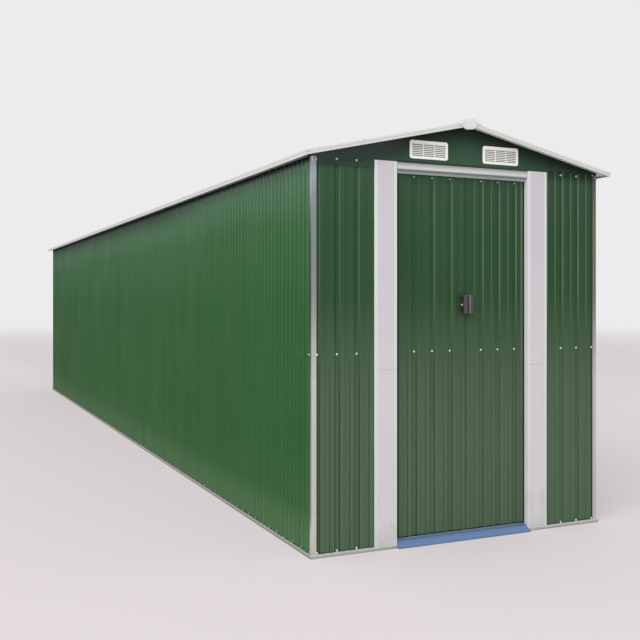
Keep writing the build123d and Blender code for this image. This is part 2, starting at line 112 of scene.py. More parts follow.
@dataclass(frozen=True)
class WallFace:
    """Plane of the flat pans of one wall. Seen from outside, along runs to the right."""

    outward: Triple
    distance: float

    def at(self, along: float, out: float, height: float) -> Vector:
        """Place on the wall, for lines that are drawn as (along, out)."""
        outward = Vector(self.outward)
        axis = Vector((0, 0, 1)).cross(outward)
        return outward * (self.distance + out) + axis * along + Vector((0, 0, height))

    def level(self, out: float, height: float, along: float) -> Vector:
        """Place on the wall, for lines that are drawn as (out, height)."""
        return self.at(along, out, height)


@dataclass(frozen=True)
class ShedForm:
    """Main sizes that several pieces share, in metres."""

    half_width: float = 0.900
    half_length: float = 4.630
    wall_height: float = 2.008
    step_height: float = 0.020
    step_reach: float = 0.012
    post_exposed: float = 0.025
    sheet: float = 0.001
    steel: float = 0.0015
    overhang: float = 0.060
    rise: float = 0.225
    roof_seat: float = 0.0155
    roof_rib: float = 0.012
    trim: float = 0.0012
    clearance: float = 0.0003
    opening_left: float = 0.419
    opening_right: float = 0.412
    jamb_width: float = 0.133
    plate_out: float = 0.008
    plate_low: float = 1.968
    bare_top: float = 2.016

    @property
    def roof_angle(self) -> float:
        """Slope of the roof in radians."""
        return math.atan(self.rise)

    @property
    def roof_half_width(self) -> float:
        """Distance from the ridge line to the outside of an eave."""
        return self.half_width + self.overhang

    @property
    def roof_half_length(self) -> float:
        """Distance from the middle to the outside of a rake trim."""
        return self.half_length + self.overhang

    def side_wall(self, hand: Hand) -> WallFace:
        """Plane of one long wall."""
        return WallFace((hand.value, 0, 0), self.half_width)

    def end_wall(self, end: End) -> WallFace:
        """Plane of the wall at one end."""
        return WallFace((0, end.value, 0), self.half_length)

    def jamb_edges(self, hand: Hand) -> Spot:
        """Distances of the inner and the outer edge of one jamb from the middle of the shed."""
        inner = self.opening_left if hand is Hand.LEFT else self.opening_right
        return inner, inner + self.jamb_width

    def roof_under(self, x: float) -> float:
        """Height of the underside of the roof sheets at the distance x from the ridge line."""
        return self.wall_height + self.roof_seat + self.rise * (self.half_width - abs(x))

    def trim_top(self, x: float) -> float:
        """Height of the trims that lie on the crowns of the roof ribs."""
        stack = (self.sheet + self.roof_rib) / math.cos(self.roof_angle)
        return self.roof_under(x) + stack + self.clearance + self.trim


# Meshes


def bent(corners: Sequence[Spot], thickness: float, radius: float, steps: int = 2) -> list[Pair]:
    """Bends a strip of sheet along a line and rounds each bend.

    Args:
        corners: Corners of the line along the face of the sheet.
        thickness: How far the other face lies to the left of the line, or to its right if negative.
        radius: Radius of the bends on the line.
        steps: Number of flats that each bend is made of.

    Returns:
        Places on the face, each with the place behind it on the other face.
    """
    spots = [Vector(corner) for corner in corners]
    runs = [(after - before).normalized() for before, after in zip(spots, spots[1:])]
    normals = [Vector((-run.y, run.x)) for run in runs]
    made = [(spots[0], normals[0])]
    for number, spot in enumerate(spots[1:-1]):
        run_in, run_out = runs[number], runs[number + 1]
        turn = math.atan2(run_in.x * run_out.y - run_in.y * run_out.x, run_in.dot(run_out))
        if abs(turn) < 1e-4:
            made.append((spot, normals[number]))
            continue
        room = 0.45 * min((spot - spots[number]).length, (spots[number + 2] - spot).length)
        reach = min(radius * math.tan(abs(turn) / 2), room)
        bend = reach / math.tan(abs(turn) / 2)
        side = math.copysign(1, turn)
        if side * thickness > 0 and bend < abs(thickness) * 1.02:
            mitre = (normals[number] + normals[number + 1]) / (1 + normals[number].dot(normals[number + 1]))
            made.append((spot, mitre))
            continue
        centre = spot - run_in * reach + normals[number] * (side * bend)
        for step in range(steps + 1):
            normal = normals[number].copy()
            normal.rotate(Matrix.Rotation(turn * step / steps, 2))
            made.append((centre - normal * (side * bend), normal))
    made.append((spots[-1], normals[-1]))
    return [(tuple(spot), tuple(spot + normal * thickness)) for spot, normal in made]


def rounded_rectangle(width: float, height: float, radius: float, steps: int = 4) -> list[Spot]:
    """Outline of a rectangle with rounded corners, centred on zero.

    Args:
        width: Full width.
        height: Full height.
        radius: Radius of the corners.
        steps: Number of flats in each corner.

    Returns:
        The places of the outline, always the same number for the same steps.
    """
    places = []
    for corner, (u, v) in enumerate(((1, 1), (-1, 1), (-1, -1), (1, -1))):
        for step in range(steps + 1):
            angle = math.pi / 2 * (corner + step / steps)
            places.append((u * (width / 2 - radius) + radius * math.cos(angle),
                           v * (height / 2 - radius) + radius * math.sin(angle)))
    return places


class Blank:
    """Corners and faces of one piece, gathered before they become a mesh."""

    def __init__(self) -> None:
        """Starts with nothing."""
        self.corners: list[Vector] = []
        self.faces: list[tuple[int, ...]] = []
        self.marks: list[int] = []

    def row(self, places: Iterable[Vector]) -> list[int]:
        """Adds places and returns their numbers."""
        start = len(self.corners)
        self.corners.extend(places)
        return list(range(start, len(self.corners)))

    def face(self, corners: Sequence[int], mark: int = 0) -> None:
        """Adds one face with the number of its finish."""
        self.faces.append(tuple(corners))
        self.marks.append(mark)

    def join(self, first: Sequence[int], second: Sequence[int], mark: int = 0,
             closed: bool = False) -> None:
        """Joins two rows of equal length with four-sided faces.

        Args:
            first: Numbers of the corners of one row.
            second: Numbers of the corners of the other row.
            mark: Number of the finish.
            closed: Whether the rows are rings.
        """
        count = len(first)
        for here in range(count if closed else count - 1):
            there = (here + 1) % count
            self.face((first[here], first[there], second[there], second[here]), mark)

    def strip(self, pairs: Sequence[Pair], place: Placer, stations: Sequence[Station],
              marks: tuple[int, int, int] = (0, 0, 0)) -> None:
        """Runs a bent strip of sheet through several stations.

        Args:
            pairs: Places across the strip, as bent() gives them.
            place: Turns a place across the strip and a station into a place on the shed.
            stations: Where the strip starts, changes and stops, as numbers or as rules.
            marks: Numbers of the finishes of the face, the other face and the cut edges.
        """
        faces, backs = [], []
        for station in stations:
            rule = station if callable(station) else (lambda u, v, fixed=station: fixed)
            faces.append(self.row(place(u, v, rule(u, v)) for (u, v), _ in pairs))
            backs.append(self.row(place(u, v, rule(u, v)) for _, (u, v) in pairs))
        for before, after in zip(faces, faces[1:]):
            self.join(before, after, marks[0])
        for before, after in zip(backs, backs[1:]):
            self.join(after, before, marks[1])
        for first, second in ((backs[0], faces[0]), (faces[-1], backs[-1])):
            self.join(first, second, marks[2])
        for edge in (0, -1):
            self.join([row[edge] for row in faces], [row[edge] for row in backs], marks[2])

    def loft(self, rings: Sequence[Sequence[Vector]], marks: Sequence[int] = (),
             caps: bool = True) -> None:
        """Joins closed rings one after the other.

        Args:
            rings: Rings of equal length.
            marks: Number of the finish between each ring and the next, or none for the first finish.
            caps: Whether the first and the last ring are closed with a face.
        """
        rows = [self.row(ring) for ring in rings]
        for number, (before, after) in enumerate(zip(rows, rows[1:])):
            self.join(before, after, marks[number] if marks else 0, closed=True)
        if caps:
            self.face(rows[0], marks[0] if marks else 0)
            self.face(rows[-1], marks[-1] if marks else 0)

    def prism(self, outline: Sequence[Spot], place: Placer, start: float, stop: float) -> None:
        """Runs a closed outline from one station to another."""
        self.loft([[place(u, v, station) for u, v in outline] for station in (start, stop)])

    def piece(self, name: str, slot: str, materials: Sequence[Material], replaces: Sequence[str] = (),
              body: str = "shed", bevel: float = 0.0, angle: float = 30) -> None:
        """Makes the mesh and fastens it to the shed.

        Args:
            name: Name of the piece.
            slot: Material slot of the record; not used.
            materials: Finishes, in the order of the marks.
            replaces: Nodes of the frame that this piece stands for.
            body: Body of the frame that carries it.
            bevel: Width of the rounding of sharp edges, or nothing.
            angle: Bends sharper than this, in degrees, stay sharp.
        """
        mesh = bpy.data.meshes.new(name)
        mesh.from_pydata([tuple(corner) for corner in self.corners], [], self.faces)
        for material in materials:
            mesh.materials.append(material)
        mesh.polygons.foreach_set("material_index", self.marks)
        work = bmesh.new()
        work.from_mesh(mesh)
        bmesh.ops.recalc_face_normals(work, faces=work.faces)
        work.to_mesh(mesh)
        work.free()
        mesh.shade_smooth()
        mesh.set_sharp_from_angle(angle=math.radians(angle))
        made = bpy.data.objects.new(name, mesh)
        bpy.context.scene.collection.objects.link(made)
        if bevel:
            rounding = made.modifiers.new("rounding", "BEVEL")
            rounding.width = bevel
            rounding.segments = 2
            rounding.limit_method = "ANGLE"
            rounding.angle_limit = math.radians(angle)
            rounding.harden_normals = True
        flats = made.modifiers.new("flats", "WEIGHTED_NORMAL")
        flats.keep_sharp = not bevel
        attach(made, body)
        if replaces:
            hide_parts(*replaces)
        LOG.info("%s: %d faces on %s", name, len(self.faces), body)


# Finishes


class Wiring:
    """Nodes of one tree, wired step by step."""

    def __init__(self, tree: bpy.types.NodeTree) -> None:
        """Empties the tree."""
        self.tree = tree
        tree.nodes.clear()

    def feed(self, socket: Socket, value: Feed) -> None:
        """Links a socket to another one, or sets its value."""
        if isinstance(value, bpy.types.NodeSocket):
            self.tree.links.new(value, socket)
        else:
            socket.default_value = value

    def node(self, kind: str, inputs: dict[str | int, Feed], **settings: object) -> bpy.types.Node:
        """Adds a node.

        Args:
            kind: Type of the node without its first word.
            inputs: Values or links of its inputs, by name or number.
            settings: Other settings of the node.

        Returns:
            The node.
        """
        made = self.tree.nodes.new("ShaderNode" + kind)
        for name, value in settings.items():
            setattr(made, name, value)
        for name, value in inputs.items():
            self.feed(made.inputs[name], value)
        return made

    def maths(self, operation: str, first: Feed, second: Feed = 0.0) -> Socket:
        """Result of an operation on numbers."""
        return self.node("Math", {0: first, 1: second}, operation=operation).outputs[0]

    def seen(self) -> Socket:
        """Whether a ray comes from the camera, straight or by way of a mirror or glass.

        Returns:
            One where it does, and nothing elsewhere.
        """
        paths = self.node("LightPath", {})
        seen = paths.outputs["Is Camera Ray"]
        for name in ("Is Glossy Ray", "Is Transmission Ray"):
            seen = self.maths("MAXIMUM", seen, paths.outputs[name])
        return seen


class Graph(Wiring):
    """Nodes of one material."""

    def __init__(self, name: str) -> None:
        """Starts a material with a surface and the places and directions of the piece.

        Args:
            name: Name of the material.
        """
        self.material = bpy.data.materials.new(name)
        self.material.use_nodes = True
        super().__init__(self.material.node_tree)
        self.surface = self.node("BsdfPrincipled", {})
        self.output = self.node("OutputMaterial", {"Surface": self.surface.outputs["BSDF"]})
        coordinates = self.node("TexCoord", {})
        self.place = coordinates.outputs["Object"]
        self.facing = coordinates.outputs["Normal"]

    def parts(self, value: Socket) -> list[Socket]:
        """The three numbers of a place or a direction."""
        return list(self.node("SeparateXYZ", {0: value}).outputs)

    def times(self, first: Feed, second: Feed) -> Socket:
        """Product of two numbers."""
        return self.maths("MULTIPLY", first, second)

    def plus(self, first: Feed, second: Feed) -> Socket:
        """Sum of two numbers."""
        return self.maths("ADD", first, second)

    def between(self, share: Socket, first: Socket, second: Socket) -> Socket:
        """Number that lies by that share on the way from the first to the second."""
        return self.plus(first, self.times(share, self.maths("SUBTRACT", second, first)))

    def pitched(self, x: Socket, z: Socket, pitch: float) -> Socket:
        """Height that a slope through the place has at the ridge, or the plain height without a pitch."""
        return self.plus(z, self.times(self.maths("ABSOLUTE", x), pitch)) if pitch else z

    def band(self, value: Feed, low: float, high: float, start: Feed = 0.0, stop: float = 1.0) -> Socket:
        """Number that goes smoothly from start to stop while the value goes from low to high."""
        inputs = {"Value": value, "From Min": low, "From Max": high, "To Min": start, "To Max": stop}
        return self.node("MapRange", inputs, interpolation_type="SMOOTHSTEP").outputs[0]

    def noise(self, scale: Triple, detail: float = 3.0, rough: float = 0.55) -> Socket:
        """Cloudy pattern, with as many waves to the metre in each direction as the scale says."""
        stretched = self.node("Mapping", {"Vector": self.place, "Scale": scale}).outputs[0]
        inputs = {"Vector": stretched, "Scale": 1.0, "Detail": detail, "Roughness": rough}
        return self.node("TexNoise", inputs).outputs[0]

    def uneven(self, scale: Triple, detail: float, low: float, high: float) -> Socket:
        """Number that wanders between two limits in a cloudy pattern."""
        return self.band(self.noise(scale, detail), 0.3, 0.7, low, high)

    def blend(self, amount: Feed, first: Feed, second: Feed, kind: str = "MIX") -> Socket:
        """Colour between the first and the second one."""
        inputs = {0: amount, 6: first, 7: second}
        return self.node("Mix", inputs, data_type="RGBA", blend_type=kind).outputs[2]

    def tint(self, colour: Feed, pattern: Socket, amount: float, stain: Colour) -> Socket:
        """Colour that turns to a stain where the pattern is strong, by that share at most."""
        return self.blend(self.times(pattern, amount), colour, stain)

    def levels(self, value: Socket, stops: Sequence[tuple[float, Colour]], top: float) -> Socket:
        """Colour that follows a number.

        Args:
            value: The number.
            stops: Numbers in rising order, each with its colour.
            top: Largest number.

        Returns:
            The colour.
        """
        made = self.node("ValToRGB", {0: self.maths("DIVIDE", value, top)})
        ramp = made.color_ramp
        for number, (place, colour) in enumerate(stops):
            stop = ramp.elements[number] if number < 2 else ramp.elements.new(place / top)
            stop.position = place / top
            stop.color = colour
        return made.outputs[0]

    def tones(self, height: Socket, tones: Tones, top: float = TONES_TOP) -> Socket:
        """Colour that follows the height, from a table of heights and display values."""
        return self.levels(height, [(place, shade(*tone)) for place, *tone in tones], top)

    def vary(self, colour: Feed, pattern: Socket, amount: float) -> Socket:
        """Colour made lighter and darker by a pattern, by that share each way."""
        gain = self.node("MapRange", {"Value": pattern, "From Min": 0.3, "From Max": 0.7,
                                      "To Min": 1 - amount, "To Max": 1 + amount}).outputs[0]
        grey = self.node("CombineColor", {0: gain, 1: gain, 2: gain}).outputs[0]
        return self.blend(1.0, colour, grey, "MULTIPLY")

    def bump(self, height: Socket, distance: float, under: Socket | None = None,
             strength: float = 1.0) -> Socket:
        """Gives the surface a relief.

        Args:
            height: Pattern of the relief.
            distance: Depth in metres.
            under: Direction of the surface under it, if that has a relief of its own.
            strength: Share of the relief that shows.

        Returns:
            The direction of the surface.
        """
        inputs: dict[str | int, Feed] = {"Height": height, "Distance": distance, "Strength": strength}
        if under is not None:
            inputs["Normal"] = under
        return self.node("Bump", inputs).outputs[0]

    def finish(self, colour: Feed, rough: Feed, normal: Socket | None = None,
               **fixed: float) -> Material:
        """Feeds the surface.

        Args:
            colour: Base colour.
            rough: Roughness.
            normal: Direction of the surface, if it has a relief.
            fixed: Other inputs with the same value all over, spaces written as underscores.

        Returns:
            The material.
        """
        self.feed(self.surface.inputs["Base Color"], colour)
        self.feed(self.surface.inputs["Roughness"], rough)
        if normal is not None:
            self.feed(self.surface.inputs["Normal"], normal)
        for name, value in fixed.items():
            self.surface.inputs[name.replace("_", " ")].default_value = value
        return self.material


@dataclass(frozen=True)
class SheetPaint:
    """Satin paint on ribbed sheet, greyer towards the ground, with lines on the sides of the ribs.

    The lines are painted highlights on the sides that face the front left corner, and painted
    reflection lower down; the sides that face right get painted shade.
    Shares, where there are any, give a place across the wall with the amounts of line on tall and on
    short ribs above the middle rail, and on all ribs below it.
    """

    name: str
    run: Run
    heights: Tones
    lines: Tones
    line_amount: float = 0.75
    steep: Spot = (0.5, 0.84)
    slope_shade: float = 0.30
    pitch: float = 0.0
    streak: float = 0.045
    cloud: float = 0.04
    rough: float = 0.55
    shares: Tones = ()
    steady: float = 1.93
    sheen: float = 0.0
    far_shade: float = 0.0
    right_shade: float = 0.0

    def ribs(self, graph: Graph, x: Socket, lean: Socket, level: Socket) -> tuple[Socket, Socket]:
        """Amounts of painted line and of painted shade on the sides of the ribs.

        Args:
            graph: Nodes of the material.
            x: Place across the wall.
            lean: How far the surface faces to the right.
            level: Height.

        Returns:
            The amount of line on the sides that face left, and of painted shade on those that face right.
        """
        rising = graph.times(lean, -1.0)
        if not self.shares:
            return (graph.band(rising, *self.steep, 0.0, self.line_amount),
                    graph.band(lean, *self.steep, 0.0, self.slope_shade))
        stops = [(place + 1, (*amounts, 1.0)) for place, *amounts in self.shares]
        across = graph.levels(graph.plus(x, 1.0), stops, 2.0)
        tall, short, low = list(graph.node("SeparateColor", {0: across}).outputs)[:3]
        high = graph.between(graph.band(rising, 0.66, 0.78), short, tall)
        amount = graph.between(graph.band(level, 0.95, 1.15), low, high)
        return (graph.times(graph.band(rising, 0.3, 0.5), amount),
                graph.times(graph.band(lean, 0.1, 0.5), graph.times(low, low)))

    def shadows(self, graph: Graph, colour: Socket, place: Sequence[Socket]) -> Socket:
        """Darkens the paint where the roof keeps light off, and greys it where the sky shows in it.

        Args:
            graph: Nodes of the material.
            colour: Colour of the paint.
            place: Place across and along the shed, and height.

        Returns:
            The colour.
        """
        x, y, z = place
        if self.sheen:
            height = graph.times(graph.band(z, 2.13, 2.205, 0.1, 1.0), graph.band(z, 2.228, 2.218))
            amount = graph.times(graph.band(x, -0.25, -0.55, 0.0, self.sheen), height)
            colour = graph.blend(amount, colour, shade(64, 75, 71))
        if self.far_shade:
            amount = graph.times(graph.band(y, -3.3, -1.6), graph.band(z, 1.79, 1.98, 0.0, self.far_shade))
            colour = graph.blend(amount, colour, shade(14, 22, 16))
        if self.right_shade:
            amount = graph.times(graph.band(x, -0.5, 0.8, 0.0, self.right_shade), graph.band(z, 1.0, 1.9))
            colour = graph.blend(amount, colour, shade(14, 22, 16))
        return colour

    def material(self) -> Material:
        """Wires the finish.

        Returns:
            The material.
        """
        graph = Graph(self.name)
        x, y, z = graph.parts(graph.place)
        z = graph.pitched(x, z, self.pitch)
        lean = graph.parts(graph.facing)[self.run.value]
        clouds = graph.noise((1.1, 1.1, 1.4), 4.0)
        reach = graph.band(z, self.steady, self.steady - 0.15, 0.0, 0.12)
        level = graph.plus(z, graph.times(graph.maths("SUBTRACT", clouds, 0.5), reach))
        line, dirt_and_shade = self.ribs(graph, x, lean, level)
        # Rib lines: painted highlights up high, painted reflection of darker surroundings lower down.
        colour = graph.blend(line, graph.tones(level, self.heights), graph.tones(level, self.lines))
        # Painted shade on the rib sides that face right, darker above the middle rail.
        dark = graph.blend(graph.band(level, 0.95, 1.2), shade(65, 84, 65), shade(40, 67, 44))
        colour = self.shadows(graph, graph.blend(dirt_and_shade, colour, dark), (x, y, z))
        streaks = graph.noise((26.0, 26.0, 0.9), 3.0, 0.6)
        colour = graph.vary(graph.vary(colour, streaks, self.streak), clouds, self.cloud)
        splash = graph.noise((9.0, 9.0, 5.0), 6.0, 0.65)
        foot = graph.band(graph.plus(z, graph.times(splash, 0.008)), 0.033, 0.026)
        colour = graph.tint(colour, foot, 0.75, shade(30, 40, 32))
        specks = graph.band(graph.noise((210.0, 210.0, 150.0), 2.0, 0.5), 0.70, 0.76)
        colour = graph.tint(colour, specks, 0.10, shade(150, 165, 140))
        rough = graph.uneven((6.0, 6.0, 1.5), 4.0, self.rough - 0.06, self.rough + 0.08)
        peel = graph.bump(graph.noise((700.0,) * 3, 2.0), 0.00006, strength=0.6)
        waves = graph.bump(graph.noise((3.0, 3.0, 0.8), 2.0), 0.0012, peel, 0.35)
        return graph.finish(colour, rough, waves, Specular_IOR_Level=0.08)


@dataclass(frozen=True)
class RollZinc:
    """Zinc coated steel with faint crystals and a tone that changes with the height."""

    name: str
    heights: Tones
    crystal: float = 0.06
    metallic: float = 0.35
    rough: float = 0.42

    def material(self) -> Material:
        """Wires the finish.

        Returns:
            The material.
        """
        graph = Graph(self.name)
        colour = graph.tones(graph.parts(graph.place)[2], self.heights)
        cells = graph.node("TexVoronoi", {"Vector": graph.place, "Scale": 95.0})
        tone = graph.node("RGBToBW", {0: cells.outputs["Color"]}).outputs[0]
        colour = graph.vary(colour, tone, self.crystal)
        colour = graph.vary(colour, graph.noise((5.0, 5.0, 1.6), 4.0), 0.05)
        stain = graph.band(graph.noise((16.0, 16.0, 4.0), 5.0, 0.7), 0.60, 0.74)
        colour = graph.tint(colour, stain, 0.16, shade(132, 124, 110))
        rough = graph.band(tone, 0.2, 0.8, self.rough - 0.07, self.rough + 0.09)
        rolled = graph.bump(graph.noise((320.0, 320.0, 12.0), 2.0), 0.00008, strength=0.5)
        return graph.finish(colour, rough, rolled, Metallic=self.metallic)


@dataclass(frozen=True)
class TrimPaint:
    """Off-white paint on folded trims, with faint runs, dust and rubbed spots."""

    name: str
    heights: Tones
    rough: float = 0.45
    pitch: float = 0.0

    def material(self) -> Material:
        """Wires the finish.

        Returns:
            The material.
        """
        graph = Graph(self.name)
        x, _, z = graph.parts(graph.place)
        z = graph.pitched(x, z, self.pitch)
        colour = graph.tones(z, self.heights)
        colour = graph.vary(colour, graph.noise((30.0, 30.0, 1.2), 3.0), 0.014)
        colour = graph.vary(colour, graph.noise((2.2,) * 3, 4.0), 0.018)
        dirt_and_shade = graph.band(graph.noise((40.0, 40.0, 14.0), 5.0, 0.7), 0.60, 0.78)
        splash = graph.band(graph.plus(z, graph.noise((14.0, 14.0, 8.0), 5.0)), 0.68, 0.46)
        for pattern, amount in ((dirt_and_shade, 0.10), (splash, 0.16)):
            colour = graph.tint(colour, pattern, amount, shade(150, 146, 134))
        # Painted shade: faces that look down, such as the turned-under edges of the roof trims, turn dark.
        if self.pitch:
            down = graph.times(graph.parts(graph.facing)[2], -1.0)
            colour = graph.blend(graph.band(down, 0.5, 0.9), colour, shade(84, 88, 80))
        rough = graph.uneven((8.0, 8.0, 3.0), 3.0, self.rough - 0.06, self.rough + 0.07)
        peel = graph.bump(graph.noise((600.0,) * 3, 2.0), 0.00005, strength=0.6)
        return graph.finish(colour, rough, peel, Specular_IOR_Level=0.35)


@dataclass(frozen=True)
class Moulding:
    """Moulded plastic with a fine grain, slightly uneven in tone."""

    name: str
    colour: Triple
    worn: Triple
    wear: float = 0.25
    rough: float = 0.5
    grain: float = 0.00008

    def material(self) -> Material:
        """Wires the finish.

        Returns:
            The material.
        """
        graph = Graph(self.name)
        patches = graph.band(graph.noise((22.0,) * 3, 5.0, 0.65), 0.46, 0.72)
        colour = graph.tint(shade(*self.colour), patches, self.wear, shade(*self.worn))
        colour = graph.vary(colour, graph.noise((90.0,) * 3, 3.0), 0.03)
        rough = graph.uneven((45.0,) * 3, 3.0, self.rough - 0.07, self.rough + 0.08)
        leather = graph.bump(graph.noise((900.0,) * 3, 3.0), self.grain, strength=0.7)
        return graph.finish(colour, rough, leather, Specular_IOR_Level=0.4)


@dataclass(frozen=True)
class RampPlastic:
    """Blue moulded plastic of the threshold ramp, paler where it is walked on."""

    name: str = "ramp_blue_plastic"
    # The darker upper band is painted shade below the doors, and the pale top edge painted light.
    heights: Tones = ((0.0, 72, 102, 142), (0.004, 88, 120, 164), (0.012, 98, 130, 174),
                      (0.028, 98, 124, 170), (0.0335, 88, 108, 136), (0.0395, 92, 110, 130),
                      (0.0410, 150, 166, 166))
    top: float = 0.05

    def material(self) -> Material:
        """Wires the finish.

        Returns:
            The material.
        """
        graph = Graph(self.name)
        colour = graph.tones(graph.parts(graph.place)[2], self.heights, self.top)
        colour = graph.vary(colour, graph.noise((9.0, 60.0, 60.0), 4.0), 0.06)
        scuffs = graph.band(graph.noise((60.0, 12.0, 12.0), 5.0, 0.7), 0.58, 0.72)
        colour = graph.tint(colour, scuffs, 0.28, shade(140, 150, 172))
        rough = graph.uneven((30.0,) * 3, 3.0, 0.5, 0.66)
        grain = graph.bump(graph.noise((800.0,) * 3, 2.0), 0.0001, strength=0.7)
        return graph.finish(colour, rough, grain, Specular_IOR_Level=0.35)


# Tones by height, each with its display values


# Greyer and lighter towards the ground: painted reflection of the pale ground. Darker at the top: painted
# shade under the gable and the roof.
FRONT: Tones = (
    (0.0, 83, 106, 81), (0.30, 84, 106, 83), (0.62, 82, 104, 81), (0.85, 79, 101, 78),
    (1.00, 72, 96, 71), (1.16, 61, 89, 61), (1.30, 51, 82, 53), (1.62, 51, 83, 54), (1.85, 56, 85, 60),
    (1.95, 59, 88, 67), (1.965, 54, 80, 60), (1.990, 44, 62, 48), (2.25, 42, 58, 45))
# Rib lines on the front: dark low down as painted reflection of darker surroundings, light above the middle
# as painted highlights.
FRONT_LINES: Tones = (
    (0.0, 48, 66, 48), (0.85, 50, 70, 50), (1.08, 66, 92, 66), (1.20, 84, 112, 84),
    (1.35, 104, 134, 106), (1.95, 114, 146, 120), (1.995, 102, 132, 108), (2.25, 94, 122, 100))
# Where the line amounts drop to nothing, beside the left jamb and the handle, the painted highlights give
# way to painted shade.
FRONT_SHARES: Tones = (
    (-0.90, 0.25, 0.0, 0.80), (-0.80, 0.27, 0.0, 0.80), (-0.66, 0.48, 0.0, 0.75),
    (-0.50, 0.50, 0.0, 0.70), (-0.42, 0.0, 0.0, 0.65), (-0.26, 0.0, 0.0, 0.65),
    (-0.25, 0.58, 0.05, 0.60), (-0.03, 0.62, 0.12, 0.50), (0.02, 0.64, 0.16, 0.47),
    (0.0245, 0.0, 0.0, 0.10), (0.0320, 0.0, 0.0, 0.10), (0.05, 0.65, 0.36, 0.45),
    (0.40, 0.72, 0.52, 0.35), (0.60, 0.70, 0.62, 0.30), (0.90, 0.72, 0.66, 0.27))
# Dark band at the top: painted shadow of the eave, with a painted light band just below it.
SIDE: Tones = (
    (0.0, 82, 114, 78), (0.12, 77, 111, 74), (0.24, 51, 97, 50), (0.45, 48, 95, 48), (1.25, 44, 90, 44),
    (1.68, 51, 96, 53), (1.80, 64, 102, 69), (1.90, 71, 106, 78), (1.94, 78, 107, 85),
    (1.951, 82, 111, 90), (1.962, 92, 121, 101), (1.973, 96, 124, 104), (1.979, 83, 102, 89),
    (1.984, 68, 83, 72), (1.990, 42, 51, 44), (1.995, 25, 31, 27), (2.005, 12, 15, 13),
    (2.25, 12, 15, 13))
# Rib lines on the long sides: painted highlights, strongest near the top, ending in the painted shadow of
# the eave.
SIDE_LINES: Tones = (
    (0.0, 82, 124, 82), (0.5, 62, 111, 64), (1.2, 66, 115, 71), (1.7, 86, 132, 93),
    (1.94, 104, 146, 114), (1.970, 100, 130, 108), (1.984, 70, 86, 74), (1.995, 26, 32, 28),
    (2.005, 13, 16, 14), (2.25, 13, 16, 14))
# Darker towards the top: painted shade under the roof.
GABLE: Tones = (
    (0.0, 60, 86, 66), (2.06, 58, 86, 66), (2.11, 52, 76, 60), (2.165, 43, 60, 50),
    (2.205, 35, 47, 41), (2.24, 24, 33, 29))
ROOF: Tones = ((0.0, 66, 104, 68), (2.05, 66, 104, 68), (2.24, 72, 110, 74))
ROOF_LINES: Tones = ((0.0, 54, 90, 56), (2.25, 60, 96, 62))
SHEET_BACK: Tones = ((0.0, 128, 136, 126), (1.0, 136, 144, 134), (2.25, 140, 148, 138))
ROOF_BACK: Tones = ((0.0, 206, 214, 204), (2.25, 206, 214, 204))
# Galvanised posts: the darker middle heights and the bluer top are painted reflection.
POST: Tones = (
    (0.0, 192, 189, 181), (0.10, 198, 195, 189), (0.85, 198, 195, 190), (1.10, 174, 172, 169),
    (1.30, 142, 144, 142), (1.55, 130, 137, 138), (1.80, 138, 145, 150), (1.92, 158, 168, 176),
    (2.25, 176, 184, 190))
# Darker copy for the front right post: painted shade and painted reflection in its upper part.
SHADED_POST: Tones = (
    (0.0, 190, 189, 182), (0.85, 190, 189, 184), (1.10, 152, 154, 144), (1.30, 112, 118, 102),
    (1.80, 98, 104, 86), (1.93, 78, 86, 70), (2.25, 80, 90, 78))
# Strip along the side of each post: the dark middle heights are painted shadow beside the post.
SIDE_STRIP_SHADE: Tones = (
    (0.0, 190, 194, 186), (0.12, 182, 188, 180), (0.20, 116, 126, 106), (0.90, 98, 110, 86),
    (1.10, 64, 80, 62), (1.30, 40, 58, 42), (1.60, 60, 76, 62), (1.75, 110, 122, 112),
    (1.86, 164, 170, 170), (2.25, 164, 170, 170))
TAB: Tones = ((0.0, 206, 212, 212), (2.25, 206, 212, 212))
# Lighter top of the step: painted light; darker foot: painted shade.
RAIL: Tones = (
    (0.0, 150, 147, 144), (0.004, 176, 172, 170), (0.016, 182, 180, 178), (0.0195, 196, 208, 198),
    (0.022, 198, 208, 200), (0.06, 180, 182, 178), (2.25, 165, 168, 168))
# Darker copy for the long sides, with painted shade at the foot under the rail.
SIDE_RAIL: Tones = (
    (0.0, 92, 92, 88), (0.0045, 112, 110, 104), (0.0075, 150, 150, 142), (0.017, 158, 160, 152),
    (0.0195, 170, 184, 168), (0.022, 176, 188, 174), (0.06, 160, 164, 158), (2.25, 160, 164, 158))
INNER: Tones = ((0.0, 165, 168, 168), (2.25, 172, 175, 175))
JAMB: Tones = (
    (0.0, 206, 202, 203), (0.10, 214, 211, 213), (1.0, 211, 208, 211), (1.50, 206, 202, 206),
    (1.90, 205, 201, 205), (2.25, 204, 201, 204))
# Lighter hems and faces towards the opening: painted highlights.
JAMB_EDGE: Tones = ((0.0, 212, 216, 212), (1.0, 218, 222, 220), (2.25, 216, 222, 218))
JAMB_FLANK: Tones = ((0.0, 232, 234, 236), (2.25, 236, 236, 240))
# The dark line at the step is painted shade under it, and the darker top painted reflection.
HEADER: Tones = (
    (0.0, 176, 188, 180), (1.955, 176, 188, 180), (1.9665, 178, 189, 183), (1.9690, 142, 148, 145),
    (1.9715, 216, 219, 218), (1.984, 208, 210, 209), (1.992, 176, 179, 176), (2.006, 144, 148, 144),
    (2.25, 142, 146, 142))
# The grey band is painted shade in the groove of the roof trims.
ROOF_TRIM: Tones = (
    (0.0, 213, 216, 208), (2.2245, 213, 216, 208), (2.2262, 182, 185, 179), (2.2285, 182, 185, 179),
    (2.2300, 212, 216, 208), (2.3, 212, 215, 208))
